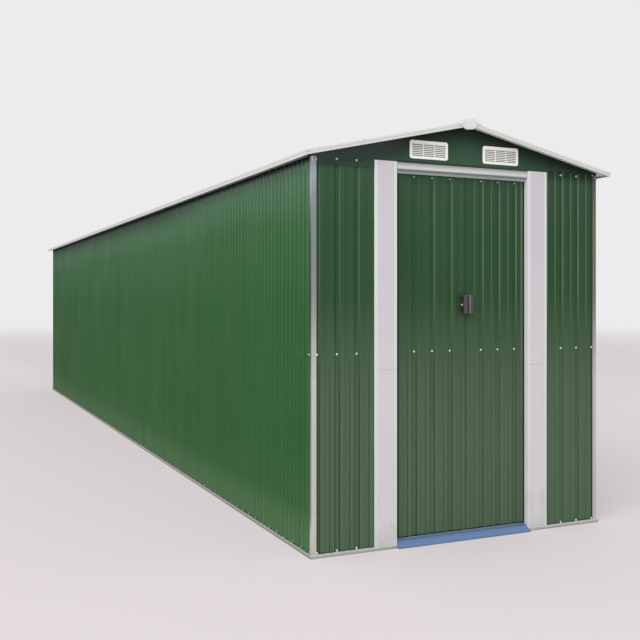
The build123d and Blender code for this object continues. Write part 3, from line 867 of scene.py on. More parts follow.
# Darker lower part: painted shade.
RIDGE_END: Tones = (
    (0.0, 202, 202, 200), (2.194, 204, 204, 200), (2.204, 222, 222, 218), (2.225, 226, 222, 221),
    (2.252, 228, 226, 220), (2.3, 230, 228, 222))
SCREW_HEAD: Tones = (
    (0.0, 214, 232, 216), (1.2, 208, 230, 208), (1.7, 186, 206, 190), (2.25, 176, 192, 182))
DULL_HEAD: Tones = ((0.0, 168, 182, 168), (2.25, 160, 176, 162))


class Finishes:
    """All materials of the shed, each made once."""

    def __init__(self) -> None:
        """Makes the materials."""
        self.front_paint = SheetPaint("green_paint_front", Run.ACROSS, FRONT, FRONT_LINES,
                                      shares=FRONT_SHARES, right_shade=0.20).material()
        self.side_paint = SheetPaint("green_paint_side", Run.ALONG, SIDE, SIDE_LINES, 0.6, (0.25, 0.8),
                                     0.15, far_shade=0.43).material()
        self.gable_paint = SheetPaint("green_paint_gable", Run.ACROSS, GABLE, GABLE, 0.0, slope_shade=0.0,
                                      pitch=ShedForm.rise, sheen=1.0).material()
        self.roof_paint = SheetPaint("green_paint_roof", Run.ALONG, ROOF, ROOF_LINES, 0.4, (0.25, 0.8),
                                     0.2, streak=0.05, cloud=0.07).material()
        self.backing = TrimPaint("sheet_back_coat", SHEET_BACK, 0.55).material()
        self.roof_backing = TrimPaint("roof_back_coat", ROOF_BACK, 0.55).material()
        self.post_zinc = RollZinc("galvanised_post", POST, 0.04, 0.2).material()
        # Painted shade: darker copy of the post zinc for the front right post.
        self.shaded_post_zinc = RollZinc("galvanised_post_dull", SHADED_POST, 0.04, 0.2).material()
        # Painted shadow: the strip along the side of each post.
        self.side_shadow_strip = RollZinc("galvanised_flange", SIDE_STRIP_SHADE, 0.04, 0.1, 0.55).material()
        self.tab_zinc = RollZinc("galvanised_tab", TAB, 0.05, 0.15).material()
        self.rail_zinc = RollZinc("galvanised_rail", RAIL, 0.05, 0.2).material()
        # Painted shade: darker copy of the rail zinc for the long sides.
        self.side_rail_zinc = RollZinc("galvanised_side_rail", SIDE_RAIL, 0.05, 0.2).material()
        self.inner_zinc = RollZinc("galvanised_inner", INNER, 0.10, 0.6).material()
        self.screw_zinc = RollZinc("screw_zinc", SCREW_HEAD, 0.02, 0.05, 0.4).material()
        self.screw_dull = RollZinc("screw_zinc_dull", DULL_HEAD, 0.04, 0.1, 0.5).material()
        self.jamb_paint = TrimPaint("off_white_paint", JAMB).material()
        # Painted highlights: lighter copies for the jambs' hems and the faces towards the opening.
        self.edge_paint = TrimPaint("off_white_edge", JAMB_EDGE, 0.38).material()
        self.flank_paint = TrimPaint("off_white_flank", JAMB_FLANK, 0.38).material()
        self.header_paint = TrimPaint("off_white_header", HEADER).material()
        self.roof_trim = TrimPaint("off_white_roof_trim", ROOF_TRIM, pitch=ShedForm.rise).material()
        self.ridge_plastic = TrimPaint("white_ridge_plastic", RIDGE_END, 0.5).material()
        self.vent_plastic = Moulding("white_plastic", (246, 246, 240), (230, 228, 216), 0.2).material()
        # Screen behind the louvres, in a dark tone that is painted shade between the blades.
        self.mesh_dark = Moulding("insect_mesh_painted_shade", (86, 84, 76), (104, 100, 90), 0.3, 0.7).material()
        self.grip_plastic = Moulding("grey_plastic", (72, 67, 68), (92, 88, 88)).material()
        # Painted highlight: lighter copy of the grip plastic for one facet of the right grip.
        self.grip_highlight = Moulding("grey_plastic_worn", (100, 102, 97), (124, 124, 120), 0.3).material()
        # Painted shadow: the dark strips on the door skins beside the jambs.
        self.rubber = Moulding("painted_shadow_rubber", (20, 30, 22), (38, 48, 38), 0.25, 0.7).material()
        self.plate_plastic = Moulding("dark_plastic", (52, 56, 52), (72, 76, 70), 0.3).material()
        self.nylon = Moulding("nylon", (62, 70, 64), (84, 90, 82)).material()
        self.ramp = RampPlastic().material()
        self.screw_green = Moulding("green_screw_cap", (44, 66, 50), (60, 84, 64), 0.4).material()
        self.screw_leaf = Moulding("green_screw_head", (58, 104, 58), (78, 120, 78), 0.3).material()
        self.screw_stained = Moulding("stained_screw_head", (146, 168, 140), (162, 180, 156),
                                      0.35).material()
        # Painted light: the lighter green strip beside the right jamb, where shade falls.
        self.painted_light_strip = Moulding("green_strip_painted_light", (78, 99, 74), (86, 108, 82), 0.3, 0.6).material()
        # Real rubber under the screw heads, and painted shadow in the dark strips beside the posts and above
        # the header.
        self.seal = Moulding("rubber_seal", (38, 46, 38), (60, 66, 58), 0.3, 0.7).material()


# Fastenings


@dataclass(frozen=True)
class Screw:
    """Pan-headed screw with a cross recess, on a rubber seal."""

    sides: int = 12
    seal_radius: float = 0.0072
    head_radius: float = 0.0060
    turn_step: float = 2.4

    def rings(self) -> list[tuple[Spot, float, int]]:
        """Rings of the screw from the sheet up.

        Returns:
            The radii of each ring at the recess and elsewhere, its distance from the sheet and its finish.
        """
        seal, head = self.seal_radius, self.head_radius
        return [((seal, seal), -0.0003, 1), ((seal, seal), 0.0009, 1), ((seal * 0.92,) * 2, 0.0014, 1),
                ((head, head), 0.0015, 1), ((head, head), 0.0027, 0), ((head * 0.84,) * 2, 0.0038, 0),
                ((head * 0.55, head * 0.22), 0.0044, 0), ((head * 0.34, head * 0.14), 0.0030, 0)]

    def place(self, blank: Blank, spot: Vector, outward: Vector, turn: float) -> None:
        """Adds one screw.

        Args:
            blank: Gathers the faces.
            spot: Place on the sheet.
            outward: Direction in which the head stands up.
            turn: Angle of the recess.
        """
        side = outward.orthogonal().normalized()
        up = outward.cross(side)
        rings, marks = [], []
        for (point, waist), out, mark in self.rings():
            ring = []
            for number in range(self.sides):
                angle = turn + 2 * math.pi * number / self.sides
                radius = waist if number % 3 else point
                ring.append(spot + outward * out + (side * math.cos(angle) + up * math.sin(angle)) * radius)
            rings.append(ring)
            marks.append(mark)
        blank.loft(rings, marks[1:])


class ScrewSet:
    """Screws of one sub-assembly, made as one piece."""

    def __init__(self, finishes: Finishes, head: Material | None = None) -> None:
        """Starts with no screws.

        Args:
            finishes: Finishes of the shed.
            head: Finish of the heads, bright zinc if none is given.
        """
        self.finishes = finishes
        self.head = head or finishes.screw_zinc
        self.blank = Blank()
        self.count = 0

    def add(self, spot: Vector, outward: Vector) -> None:
        """Adds a screw, its recess turned by a steady step from the last one."""
        screw = Screw()
        screw.place(self.blank, spot, outward.normalized(), self.count * screw.turn_step)
        self.count += 1

    def stud(self, wall: WallFace, along: float, out: float, height: float) -> None:
        """Adds a screw that stands on a wall."""
        self.add(wall.at(along, out, height), Vector(wall.outward))

    def piece(self, name: str, body: str = "shed") -> None:
        """Makes the piece that holds all the screws."""
        self.blank.piece(name, "galvanised", [self.head, self.finishes.seal], body=body, angle=50)


# Sub-assemblies


@dataclass(frozen=True)
class RibbedSheet:
    """Rolled sheet with flat crowns. Every second pan is a little shallower."""

    pitch: float = 0.0554
    foot: float = 0.033
    crown: float = 0.024
    height: float = 0.007
    shallow: float = 0.0016
    bend: float = 0.0022
    thickness: float = 0.001
    slack: float = 0.0

    def line(self, start: float, stop: float, pan: float, lap: float | None = None,
             lift: float = 0.0012) -> list[Spot]:
        """Places along the outer face.

        Args:
            start: Where the sheet starts.
            stop: Where it stops.
            pan: Middle of one of the deeper pans.
            lap: Place of the joint after which the sheet lies on its neighbour.
            lift: How far it stands up there.

        Returns:
            The bends as (along, out), cut off at both ends.
        """
        bends: list[Spot] = []
        first = math.floor((start - pan) / self.pitch) - 1
        for number in range(first, math.ceil((stop - pan) / self.pitch) + 1):
            middle = pan + (number + 0.5) * self.pitch
            before, after = (self.shallow * ((number + step) % 2) for step in (0, 1))
            bends += [(middle - self.foot / 2, before), (middle - self.crown / 2, self.height),
                      (middle + self.crown / 2 - self.slack / 3, self.height),
                      (middle + self.foot / 2 + self.slack, after)]
        line = [(start, self.rise(bends, start))]
        line += [spot for spot in bends if start + 0.001 < spot[0] < stop - 0.001]
        line.append((stop, self.rise(bends, stop)))
        if lap is None:
            return line
        raised = lap - (self.pitch - self.foot) / 2 - 0.0005
        return [(along, out + lift if along > raised else out) for along, out in line]

    @staticmethod
    def rise(bends: Sequence[Spot], along: float) -> float:
        """Distance of the outer face from the pans at one place."""
        for (start, low), (stop, high) in zip(bends, bends[1:]):
            if start <= along <= stop:
                return low + (high - low) * (along - start) / (stop - start)
        return 0.0

    def pairs(self, line: Sequence[Spot], out: float = 0.0) -> list[Pair]:
        """Rounds the bends of a line and gives it its thickness towards the inside."""
        moved = [(along, rise + out) for along, rise in line]
        return bent(moved, -self.thickness, self.bend)


END_SHEET = RibbedSheet(shallow=0.0038, slack=0.006)


@dataclass
class Assembly:
    """Sub-assembly of the shed, which knows the shape of the shed and its finishes."""

    form: ShedForm
    finishes: Finishes

    @property
    def wall(self) -> WallFace:
        """Plane of the front wall."""
        return self.form.end_wall(End.FRONT)


@dataclass
class Cladding(Assembly):
    """Ribbed sheets of the four walls with their rows of screws."""

    sheet: RibbedSheet = RibbedSheet()
    ribs_per_sheet: int = 15
    joints: int = 10
    first_pan: float = 0.029
    lap_width: float = 0.009
    lap_lift: float = 0.0012
    rows: Triple = (0.0262, 1.015, 1.995)
    front_rows: Triple = (0.0262, 1.015, 1.9985)
    back_screws: int = 7
    screw_lift: float = 0.0002
    front_shift: float = 0.0025
    plate_shift: float = 0.0045

    def stand(self, blank: Blank, wall: WallFace, pairs: Sequence[Pair]) -> None:
        """Stands a sheet between the base frame and the top of the wall."""
        blank.strip(pairs, wall.at, (self.form.step_height, self.form.wall_height), (0, 1, 0))

    def long_wall(self, hand: Hand) -> None:
        """Makes the sheets of one long side, each one lying over the next at its joint.

        Args:
            hand: Side of the shed.
        """
        wall = self.form.side_wall(hand)
        limit = self.form.half_length - self.form.post_exposed
        front = -hand.value
        pan = front * (self.form.half_length - self.first_pan)
        cover = self.ribs_per_sheet * self.sheet.pitch
        joints = sorted(pan - front * cover * number for number in range(1, self.joints + 1))
        blank = Blank()
        for start, stop in zip([-limit, *joints], [*joints, limit]):
            lap = None if stop == limit else stop
            end = stop if lap is None else stop + self.lap_width
            self.stand(blank, wall, self.sheet.pairs(self.sheet.line(start, end, pan, lap)))
        name = hand.label + "_wall"
        blank.piece(name + "_sheets", "green_wall",
                    [self.finishes.side_paint, self.finishes.backing], [name])
        self.side_screws(wall, pan, front, name)

    def side_screws(self, wall: WallFace, pan: float, front: int, name: str) -> None:
        """Makes the three rows of one long side and its single bright screw by the front corner.

        Args:
            wall: Plane of the wall.
            pan: Middle of the pan at the front corner.
            front: Direction of the front along the wall.
            name: Name of the wall.
        """
        bright = ScrewSet(self.finishes)
        bright.stud(wall, pan, self.screw_lift, self.rows[1])
        bright.piece(name + "_corner_screw")
        spots = int((self.form.half_length - self.first_pan) // self.sheet.pitch) + 1
        heads = (self.finishes.screw_stained, self.finishes.screw_leaf, self.finishes.screw_green)
        for row, head, part in zip(self.rows, heads, ("_foot", "_middle", "_top")):
            screws = ScrewSet(self.finishes, head)
            for number in range(int(part == "_middle"), spots):
                screws.stud(wall, pan - front * 2 * self.sheet.pitch * number, self.screw_lift, row)
            screws.piece(name + part + "_screws")

    def back_wall(self) -> None:
        """Makes the two sheets of the back."""
        wall = self.form.end_wall(End.BACK)
        limit = self.form.half_width - self.form.post_exposed
        blank = Blank()
        for start, stop, lap in ((-limit, self.lap_width, 0.0), (0.0, limit, None)):
            self.stand(blank, wall, END_SHEET.pairs(END_SHEET.line(start, stop, 0.0, lap)))
        blank.piece("back_wall_sheets", "green_front",
                    [self.finishes.front_paint, self.finishes.backing], ["back_wall"])
        screws = ScrewSet(self.finishes)
        for row in self.rows:
            upper = row > self.form.plate_low
            out = self.form.plate_out if upper else self.screw_lift
            for number in range(-self.back_screws, self.back_screws + 1):
                lift = out + (self.lap_lift if number == 0 and not upper else 0.0)
                screws.stud(wall, 2 * self.sheet.pitch * number, lift, row)
        screws.piece("back_wall_screws")

    def front_wall(self) -> None:
        """Makes the sheets on both sides of the doorway."""
        form, wall = self.form, self.form.end_wall(End.FRONT)
        outer = form.half_width - form.post_exposed
        screws = ScrewSet(self.finishes)
        for hand in Hand:
            sign = hand.value
            inner = form.jamb_edges(hand)[1] + 0.001
            start, stop = sorted((sign * inner, sign * outer))
            pan = sign * (form.half_width - self.first_pan) - self.front_shift
            blank = Blank()
            top = form.wall_height if hand is Hand.LEFT else form.bare_top
            blank.strip(END_SHEET.pairs(END_SHEET.line(start, stop, pan)), wall.at,
                        (form.step_height, top), (0, 1, 0))
            blank.piece("front_wall_sheet_" + hand.label, "green_front",
                        [self.finishes.front_paint, self.finishes.backing],
                        ["front_wall_" + hand.label])
            for row in self.front_rows:
                upper = row > form.plate_low
                on_plate = upper and hand is Hand.LEFT
                out, shift = (form.plate_out, self.plate_shift) if on_plate else (self.screw_lift, 0.0)
                for number in range(1 if upper else 0, 3):
                    screws.stud(wall, pan - sign * 2 * self.sheet.pitch * number - shift, out, row)
        screws.piece("front_wall_screws")

    def build(self) -> None:
        """Makes all four walls."""
        for hand in Hand:
            self.long_wall(hand)
        self.back_wall()
        self.front_wall()


@dataclass
class CornerPosts(Assembly):
    """Folded angles at the four corners, whose outer faces stand a little proud of the sheets."""

    leg: float = 0.050
    bend: float = 0.0032
    proud: float = 0.003
    side_proud: Spot = (0.0013, 0.0042)
    face: float = 0.0252
    shaded_face: float = 0.0266
    side_face: float = 0.006
    side_shadow_strip: float = 0.0225
    shadow_strip_width: float = 0.0085
    hem_room: float = 0.0003
    tab_centre: float = 0.0138
    tab_half: float = 0.0155
    tab_low: float = 1.984
    tab_high: float = 2.0055

    def build(self) -> None:
        """Makes the four posts, the dark strips of painted shadow beside them and their top tabs."""
        for end in End:
            tab_screws = ScrewSet(self.finishes, self.finishes.rail_zinc)
            for hand in Hand:
                self.post(hand, end, tab_screws)
            tab_screws.piece(f"corner_post_{end.label}_tab_screws")

    def side(self, hand: Hand) -> float:
        """How far the posts of one side stand out beyond the long wall."""
        return self.side_proud[0 if hand is Hand.LEFT else 1]

    def place(self, hand: Hand, end: End) -> Placer:
        """Turns distances in from the outer faces and a height into a place at one corner."""
        x, y = self.form.half_width + self.side(hand), self.form.half_length + self.proud
        return lambda u, v, z: Vector((hand.value * (x - u), end.value * (y - v), z))

    def post(self, hand: Hand, end: End, screws: ScrewSet) -> None:
        """Makes one post, its angle behind the sheets and its outer face.

        Args:
            hand: Side of the shed.
            end: End of the shed.
            screws: Gathers the screw of the top tab.
        """
        place = self.place(hand, end)
        # Painted shade: the front right post and its tab get the darker zinc.
        shaded = hand is Hand.RIGHT and end is End.FRONT
        zinc = self.finishes.shaded_post_zinc if shaded else self.finishes.post_zinc
        face = self.shaded_face if shaded else self.face
        name = f"corner_post_{end.label}_{hand.label}"
        levels = (self.form.step_height, self.form.wall_height - self.form.sheet)
        back, side_back = self.proud + self.form.sheet, self.side(hand) + self.form.sheet
        hem, side_hem = self.proud - self.hem_room, self.side(hand) - self.hem_room
        blank = Blank()
        angle = [(side_back, self.leg), (side_back, back), (self.leg, back)]
        blank.strip(bent(angle, self.form.steel, self.bend, 4), place, levels)
        cover = [(side_hem, self.side_face), (0, self.side_face), (0, 0), (face, 0), (face, hem)]
        blank.strip(bent(cover, self.form.steel * 0.8, self.bend, 4), place, levels)
        blank.piece(name + "_angle", "galvanised", [zinc], [name])
        # Painted shadow: dark strips beside the post's front face and along its side stand in for the shadow
        # of the proud post.
        seals = Blank()
        stop = face + self.shadow_strip_width
        section = [(face, 0.0004), (face + 0.003, 0.0012), (stop - 0.002, 0.0018), (stop, hem)]
        lip = bent(section, 0.0008, 0.001)
        seals.strip(lip, place, levels)
        wide, thin = self.side_shadow_strip / self.shadow_strip_width, side_hem / hem
        seals.strip(lip, lambda u, v, z: place(v * thin, self.side_face + (u - face) * wide, z),
                    levels, (1, 1, 1))
        seals.piece(name + "_seals", "galvanised",
                    [self.finishes.seal, self.finishes.side_shadow_strip])
        self.tab(name, place, zinc if shaded else self.finishes.tab_zinc)
        screws.add(place(self.tab_centre, -0.0018, (self.tab_low + self.tab_high) / 2),
                   Vector((0, end.value, 0)))

    def tab(self, name: str, place: Placer, zinc: Material) -> None:
        """Makes the tab at the top of one post.

        Args:
            name: Name of the post.
            place: Turns distances from the outer faces and a height into a place.
            zinc: Finish of the tab.
        """
        outline = rounded_rectangle(2 * self.tab_half, self.tab_high - self.tab_low, 0.004)
        middle = (self.tab_low + self.tab_high) / 2
        tab = Blank()
        tab.loft([[place(self.tab_centre + u * scale, -out, middle + v * scale) for u, v in outline]
                  for out, scale in ((0.0002, 1.0), (0.0014, 1.0), (0.0018, 0.96))])
        tab.piece(name + "_tab", "galvanised", [zinc])


@dataclass
class BaseFrame(Assembly):
    """Rolled rails on the ground, mitred at the corners."""

    upright: float = 0.060
    tread: float = 0.035
    lip: float = 0.015
    bend: float = 0.0030
    guide_reach: float = 0.0425
    guide_height: float = 0.038
    post_room: float = 0.0515
    step_edge: float = 0.0012
    jamb_room: float = 0.0040

    def build(self) -> None:
        """Makes the four rails."""
        walls = {"back": (self.form.end_wall(End.BACK), self.form.half_width)}
        walls |= {hand.label: (self.form.side_wall(hand), self.form.half_length) for hand in Hand}
        for name, (wall, half_run) in walls.items():
            end = self.end_rule(half_run)
            blank = Blank()
            blank.strip(self.profile(self.tread, self.lip), wall.level, (lambda u, v: -end(u, v), end))
            self.finish(blank, name, self.finishes.side_rail_zinc)
        self.front()

    def profile(self, tread: float, lip: float) -> list[Pair]:
        """Section of a rail: lip, tread, step and the upright behind the sheets."""
        line = [(-tread, lip), (-tread, 0), (self.form.step_reach, 0),
                (self.form.step_reach, self.form.step_height), (-self.form.sheet, self.form.step_height),
                (-self.form.sheet, self.upright)]
        return bent(line, self.form.steel, self.bend, 3)

    def end_rule(self, half_run: float) -> Callable[[float, float], float]:
        """Rule that mitres a rail and stops its upright at the corner post.

        Args:
            half_run: Half the length of the wall.

        Returns:
            The rule, which gives the end of the rail at a place of its section.
        """
        def rule(out: float, height: float) -> float:
            """End of the rail at one place of its section."""
            low = height < self.form.step_height + self.step_edge
            return half_run + out if low else half_run - self.post_room
        return rule

    def front(self) -> None:
        """Makes the front rail, which is cut down in the doorway."""
        wall = self.form.end_wall(End.FRONT)
        pairs = self.profile(self.guide_reach, self.guide_height)
        end = self.end_rule(self.form.half_width)
        blank = Blank()
        stops = []
        for hand in Hand:
            half = self.form.jamb_edges(hand)[0] - 0.0005
            stops.append(hand.value * half)

            def start(out: float, height: float, edge: float = half) -> float:
                """Start of the rail beside the doorway."""
                low = height < self.form.step_height + self.step_edge
                return edge if low or out > 0 else edge + self.jamb_room

            sign = hand.value
            rules = [lambda u, v, rule=rule, sign=sign: sign * rule(u, v) for rule in (start, end)]
            blank.strip(pairs, wall.level, rules)
        sill = bent([(-self.guide_reach, self.guide_height), (-self.guide_reach, 0),
                     (self.form.step_reach, 0)], self.form.steel, self.bend, 3)
        blank.strip(sill, wall.level, stops)
        self.finish(blank, "front", self.finishes.rail_zinc)

    def finish(self, blank: Blank, name: str, zinc: Material) -> None:
        """Makes a rail's piece."""
        blank.piece(f"base_rail_{name}_rolled", "galvanised", [zinc], ["base_rail_" + name])


@dataclass
class Doorway(Assembly):
    """Jambs, header and threshold ramp."""

    proud: float = 0.0080
    returned: float = 0.0300
    foot: float = 0.032
    seam: float = 0.928
    hem: float = 0.0185
    face_lift: float = 0.0012
    bend: float = 0.0022
    header_top: float = 2.006
    header_step: float = 1.969
    header_low: float = 1.9515
    header_return: float = 0.025
    shadow_strip_height: float = 0.010
    clip_level: float = 1.960
    clip_inset: float = 0.0115
    clip_depth: float = 0.0036
    ramp_toe: float = 0.030
    ramp_lift: float = 0.0002
    ramp_gap: float = 0.0005
    ramp_steps: int = 6
    ramp_back: float = 0.024
    ramp_height: float = 0.041
    ramp_ends: Spot = (-0.4185, 0.418)
    ramp_inner: Spot = (-0.4165, 0.409)
    side_room: float = 0.0005

    @property
    def span(self) -> Spot:
        """Ends of what lies between the jambs."""
        left, right = (self.form.jamb_edges(hand)[0] for hand in Hand)
        return self.side_room - left, right - self.side_room

    def build(self) -> None:
        """Makes the pieces of the doorway."""
        for hand in Hand:
            self.jamb(hand)
        self.header()
        self.header_fittings()
        self.ramp()

    def jamb(self, hand: Hand) -> None:
        """Makes one jamb of two lengths, its middle raised between two hems, with a fine bead.

        Args:
            hand: Side of the doorway.
        """
        inner, outer = self.form.jamb_edges(hand)
        hem, face = self.proud, self.proud + self.face_lift
        bead = inner + self.hem + 0.009
        step = 0.0028
        line = [(inner, hem - self.returned), (inner, -0.0012), (inner, hem), (inner + self.hem, hem),
                (inner + self.hem + step, face), (bead, face), (bead + 0.001, face + 0.0005),
                (bead + 0.002, face), (outer - self.hem - step, face), (outer - self.hem, hem),
                (outer, hem), (outer, -self.form.sheet), (outer - self.foot, -self.form.sheet)]
        pairs = bent(line, -self.form.steel, self.bend)

        def place(along: float, out: float, height: float) -> Vector:
            """Place on this side of the doorway."""
            return self.wall.at(hand.value * along, out, height)

        def top(along: float, out: float) -> float:
            """Upper end, lower on the return so that it passes under the rail."""
            return 1.970 if out < -0.0010 and along < inner + 0.004 else self.form.wall_height

        blank = Blank()
        blank.strip(pairs, place, (self.form.step_height, self.seam))
        blank.strip(pairs, place, (self.seam + 0.0008, 1.9695, top))
        self.mark_hems(blank, hand, inner, outer)
        name = "door_jamb_" + hand.label
        blank.piece(name + "_folded", "white_trim",
                    [self.finishes.jamb_paint, self.finishes.edge_paint, self.finishes.flank_paint], [name])

    def mark_hems(self, blank: Blank, hand: Hand, inner: float, outer: float) -> None:
        """Gives the hems and the faces towards the opening lighter finishes, as painted highlights.

        Args:
            blank: Faces of the jamb.
            hand: Side of the doorway.
            inner: Distance of the jamb's inner edge from the middle.
            outer: Distance of its outer edge.
        """
        for number, corners in enumerate(blank.faces):
            spots = [blank.corners[corner] for corner in corners]
            middle = hand.value * sum(spot.x for spot in spots) / len(spots)
            if max(abs(spot.x) for spot in spots) < inner + 0.0016:
                blank.marks[number] = 2
            elif middle < inner + self.hem or middle > outer - self.hem:
                blank.marks[number] = 1

    def header(self) -> None:
        """Makes the folded rail over the doorway and a dark strip of painted shadow above it."""
        step = self.proud - self.header_return
        line = [(-self.form.sheet, self.header_top), (self.proud, self.header_top),
                (self.proud, self.header_top - 0.012), (self.proud + 0.0010, self.header_top - 0.0145),
                (self.proud + 0.0010, self.header_step), (step, self.header_step), (step, self.header_low)]
        blank = Blank()
        blank.strip(bent(line, -self.form.steel, self.bend), self.wall.level, self.span)
        blank.piece("door_header_folded", "white_trim", [self.finishes.header_paint], ["door_header"])
        # Painted shadow: the dark strip stands in for the shadow gap under the gable plate.
        out = self.form.plate_out
        low, high = self.header_top, self.header_top + self.shadow_strip_height
        shadow_outline = [(out - 0.004, low - 0.0005), (out + 0.0006, low - 0.0005), (out + 0.0010, low + 0.002),
                (out + 0.0008, high - 0.002), (out + 0.0002, high), (out - 0.004, high)]
        seal = Blank()
        seal.prism(shadow_outline, self.wall.level, *self.span)
        seal.piece("door_header_shadow_strip", "white_trim", [self.finishes.seal])

    def header_fittings(self) -> None:
        """Makes the small clips at both ends of the header, each with a screw."""
        step = self.proud - self.header_return
        screws = ScrewSet(self.finishes)
        clips = Blank()
        outline = rounded_rectangle(0.017, 0.0165, 0.002)
        for along in (self.span[0] + self.clip_inset, self.span[1] - self.clip_inset):
            clips.loft([[self.wall.at(along + u * scale, step + out, self.clip_level + v * scale)
                         for u, v in outline]
                        for out, scale in ((0.0001, 1.0), (0.0030, 1.0), (self.clip_depth, 0.94))])
            screws.stud(self.wall, along, step + self.clip_depth, self.clip_level)
        clips.piece("door_header_clips", "white_trim", [self.finishes.flank_paint])
        screws.piece("door_header_screws")

    def ramp(self) -> None:
        """Makes the ramp: a ribbed slope up to a brow and a small rise to the doors."""
        brow, toe = (-0.003, 0.033), (self.ramp_toe, 0.003)
        slope = []
        for number in range(self.ramp_steps):
            share = (number + 0.7) / (self.ramp_steps + 0.6)
            u, v = (brow[axis] + (toe[axis] - brow[axis]) * share for axis in (0, 1))
            slope += [(u, v), (u + 0.0009, v - 0.0016), (u + 0.0022, v - 0.0019)]
        inner, lift, seat = self.form.step_reach + self.ramp_gap, self.ramp_lift, self.form.steel
        outline = [(-self.ramp_back, seat), (-self.ramp_back, self.ramp_height),
                   (0.0025 - self.ramp_back, self.ramp_height), brow, *slope, toe,
                   (self.ramp_toe, lift), (inner, lift), (inner, seat)]
        blank = Blank()
        blank.prism(outline, self.wall.level, *self.ramp_inner)
        rise = toe[1] + (brow[1] - toe[1]) * (toe[0] - inner) / (toe[0] - brow[0])
        wing = [(inner, lift), (inner, rise), toe, (self.ramp_toe, lift)]
        for ends in zip(self.ramp_ends, self.ramp_inner):
            blank.prism(wing, self.wall.level, *sorted(ends))
        blank.piece("threshold_ramp_moulded", "ramp_blue", [self.finishes.ramp], ["threshold_ramp"],
                    bevel=0.0006)


# Start, end and mark of each strip beside the jambs; mark 0 is painted shadow, mark 1 painted light
SHADOW_STRIPS = {Hand.LEFT: [(-0.3986, -0.3896, 0)],
                  Hand.RIGHT: [(0.4071, 0.4158, 0), (0.3880, 0.4069, 1)]}


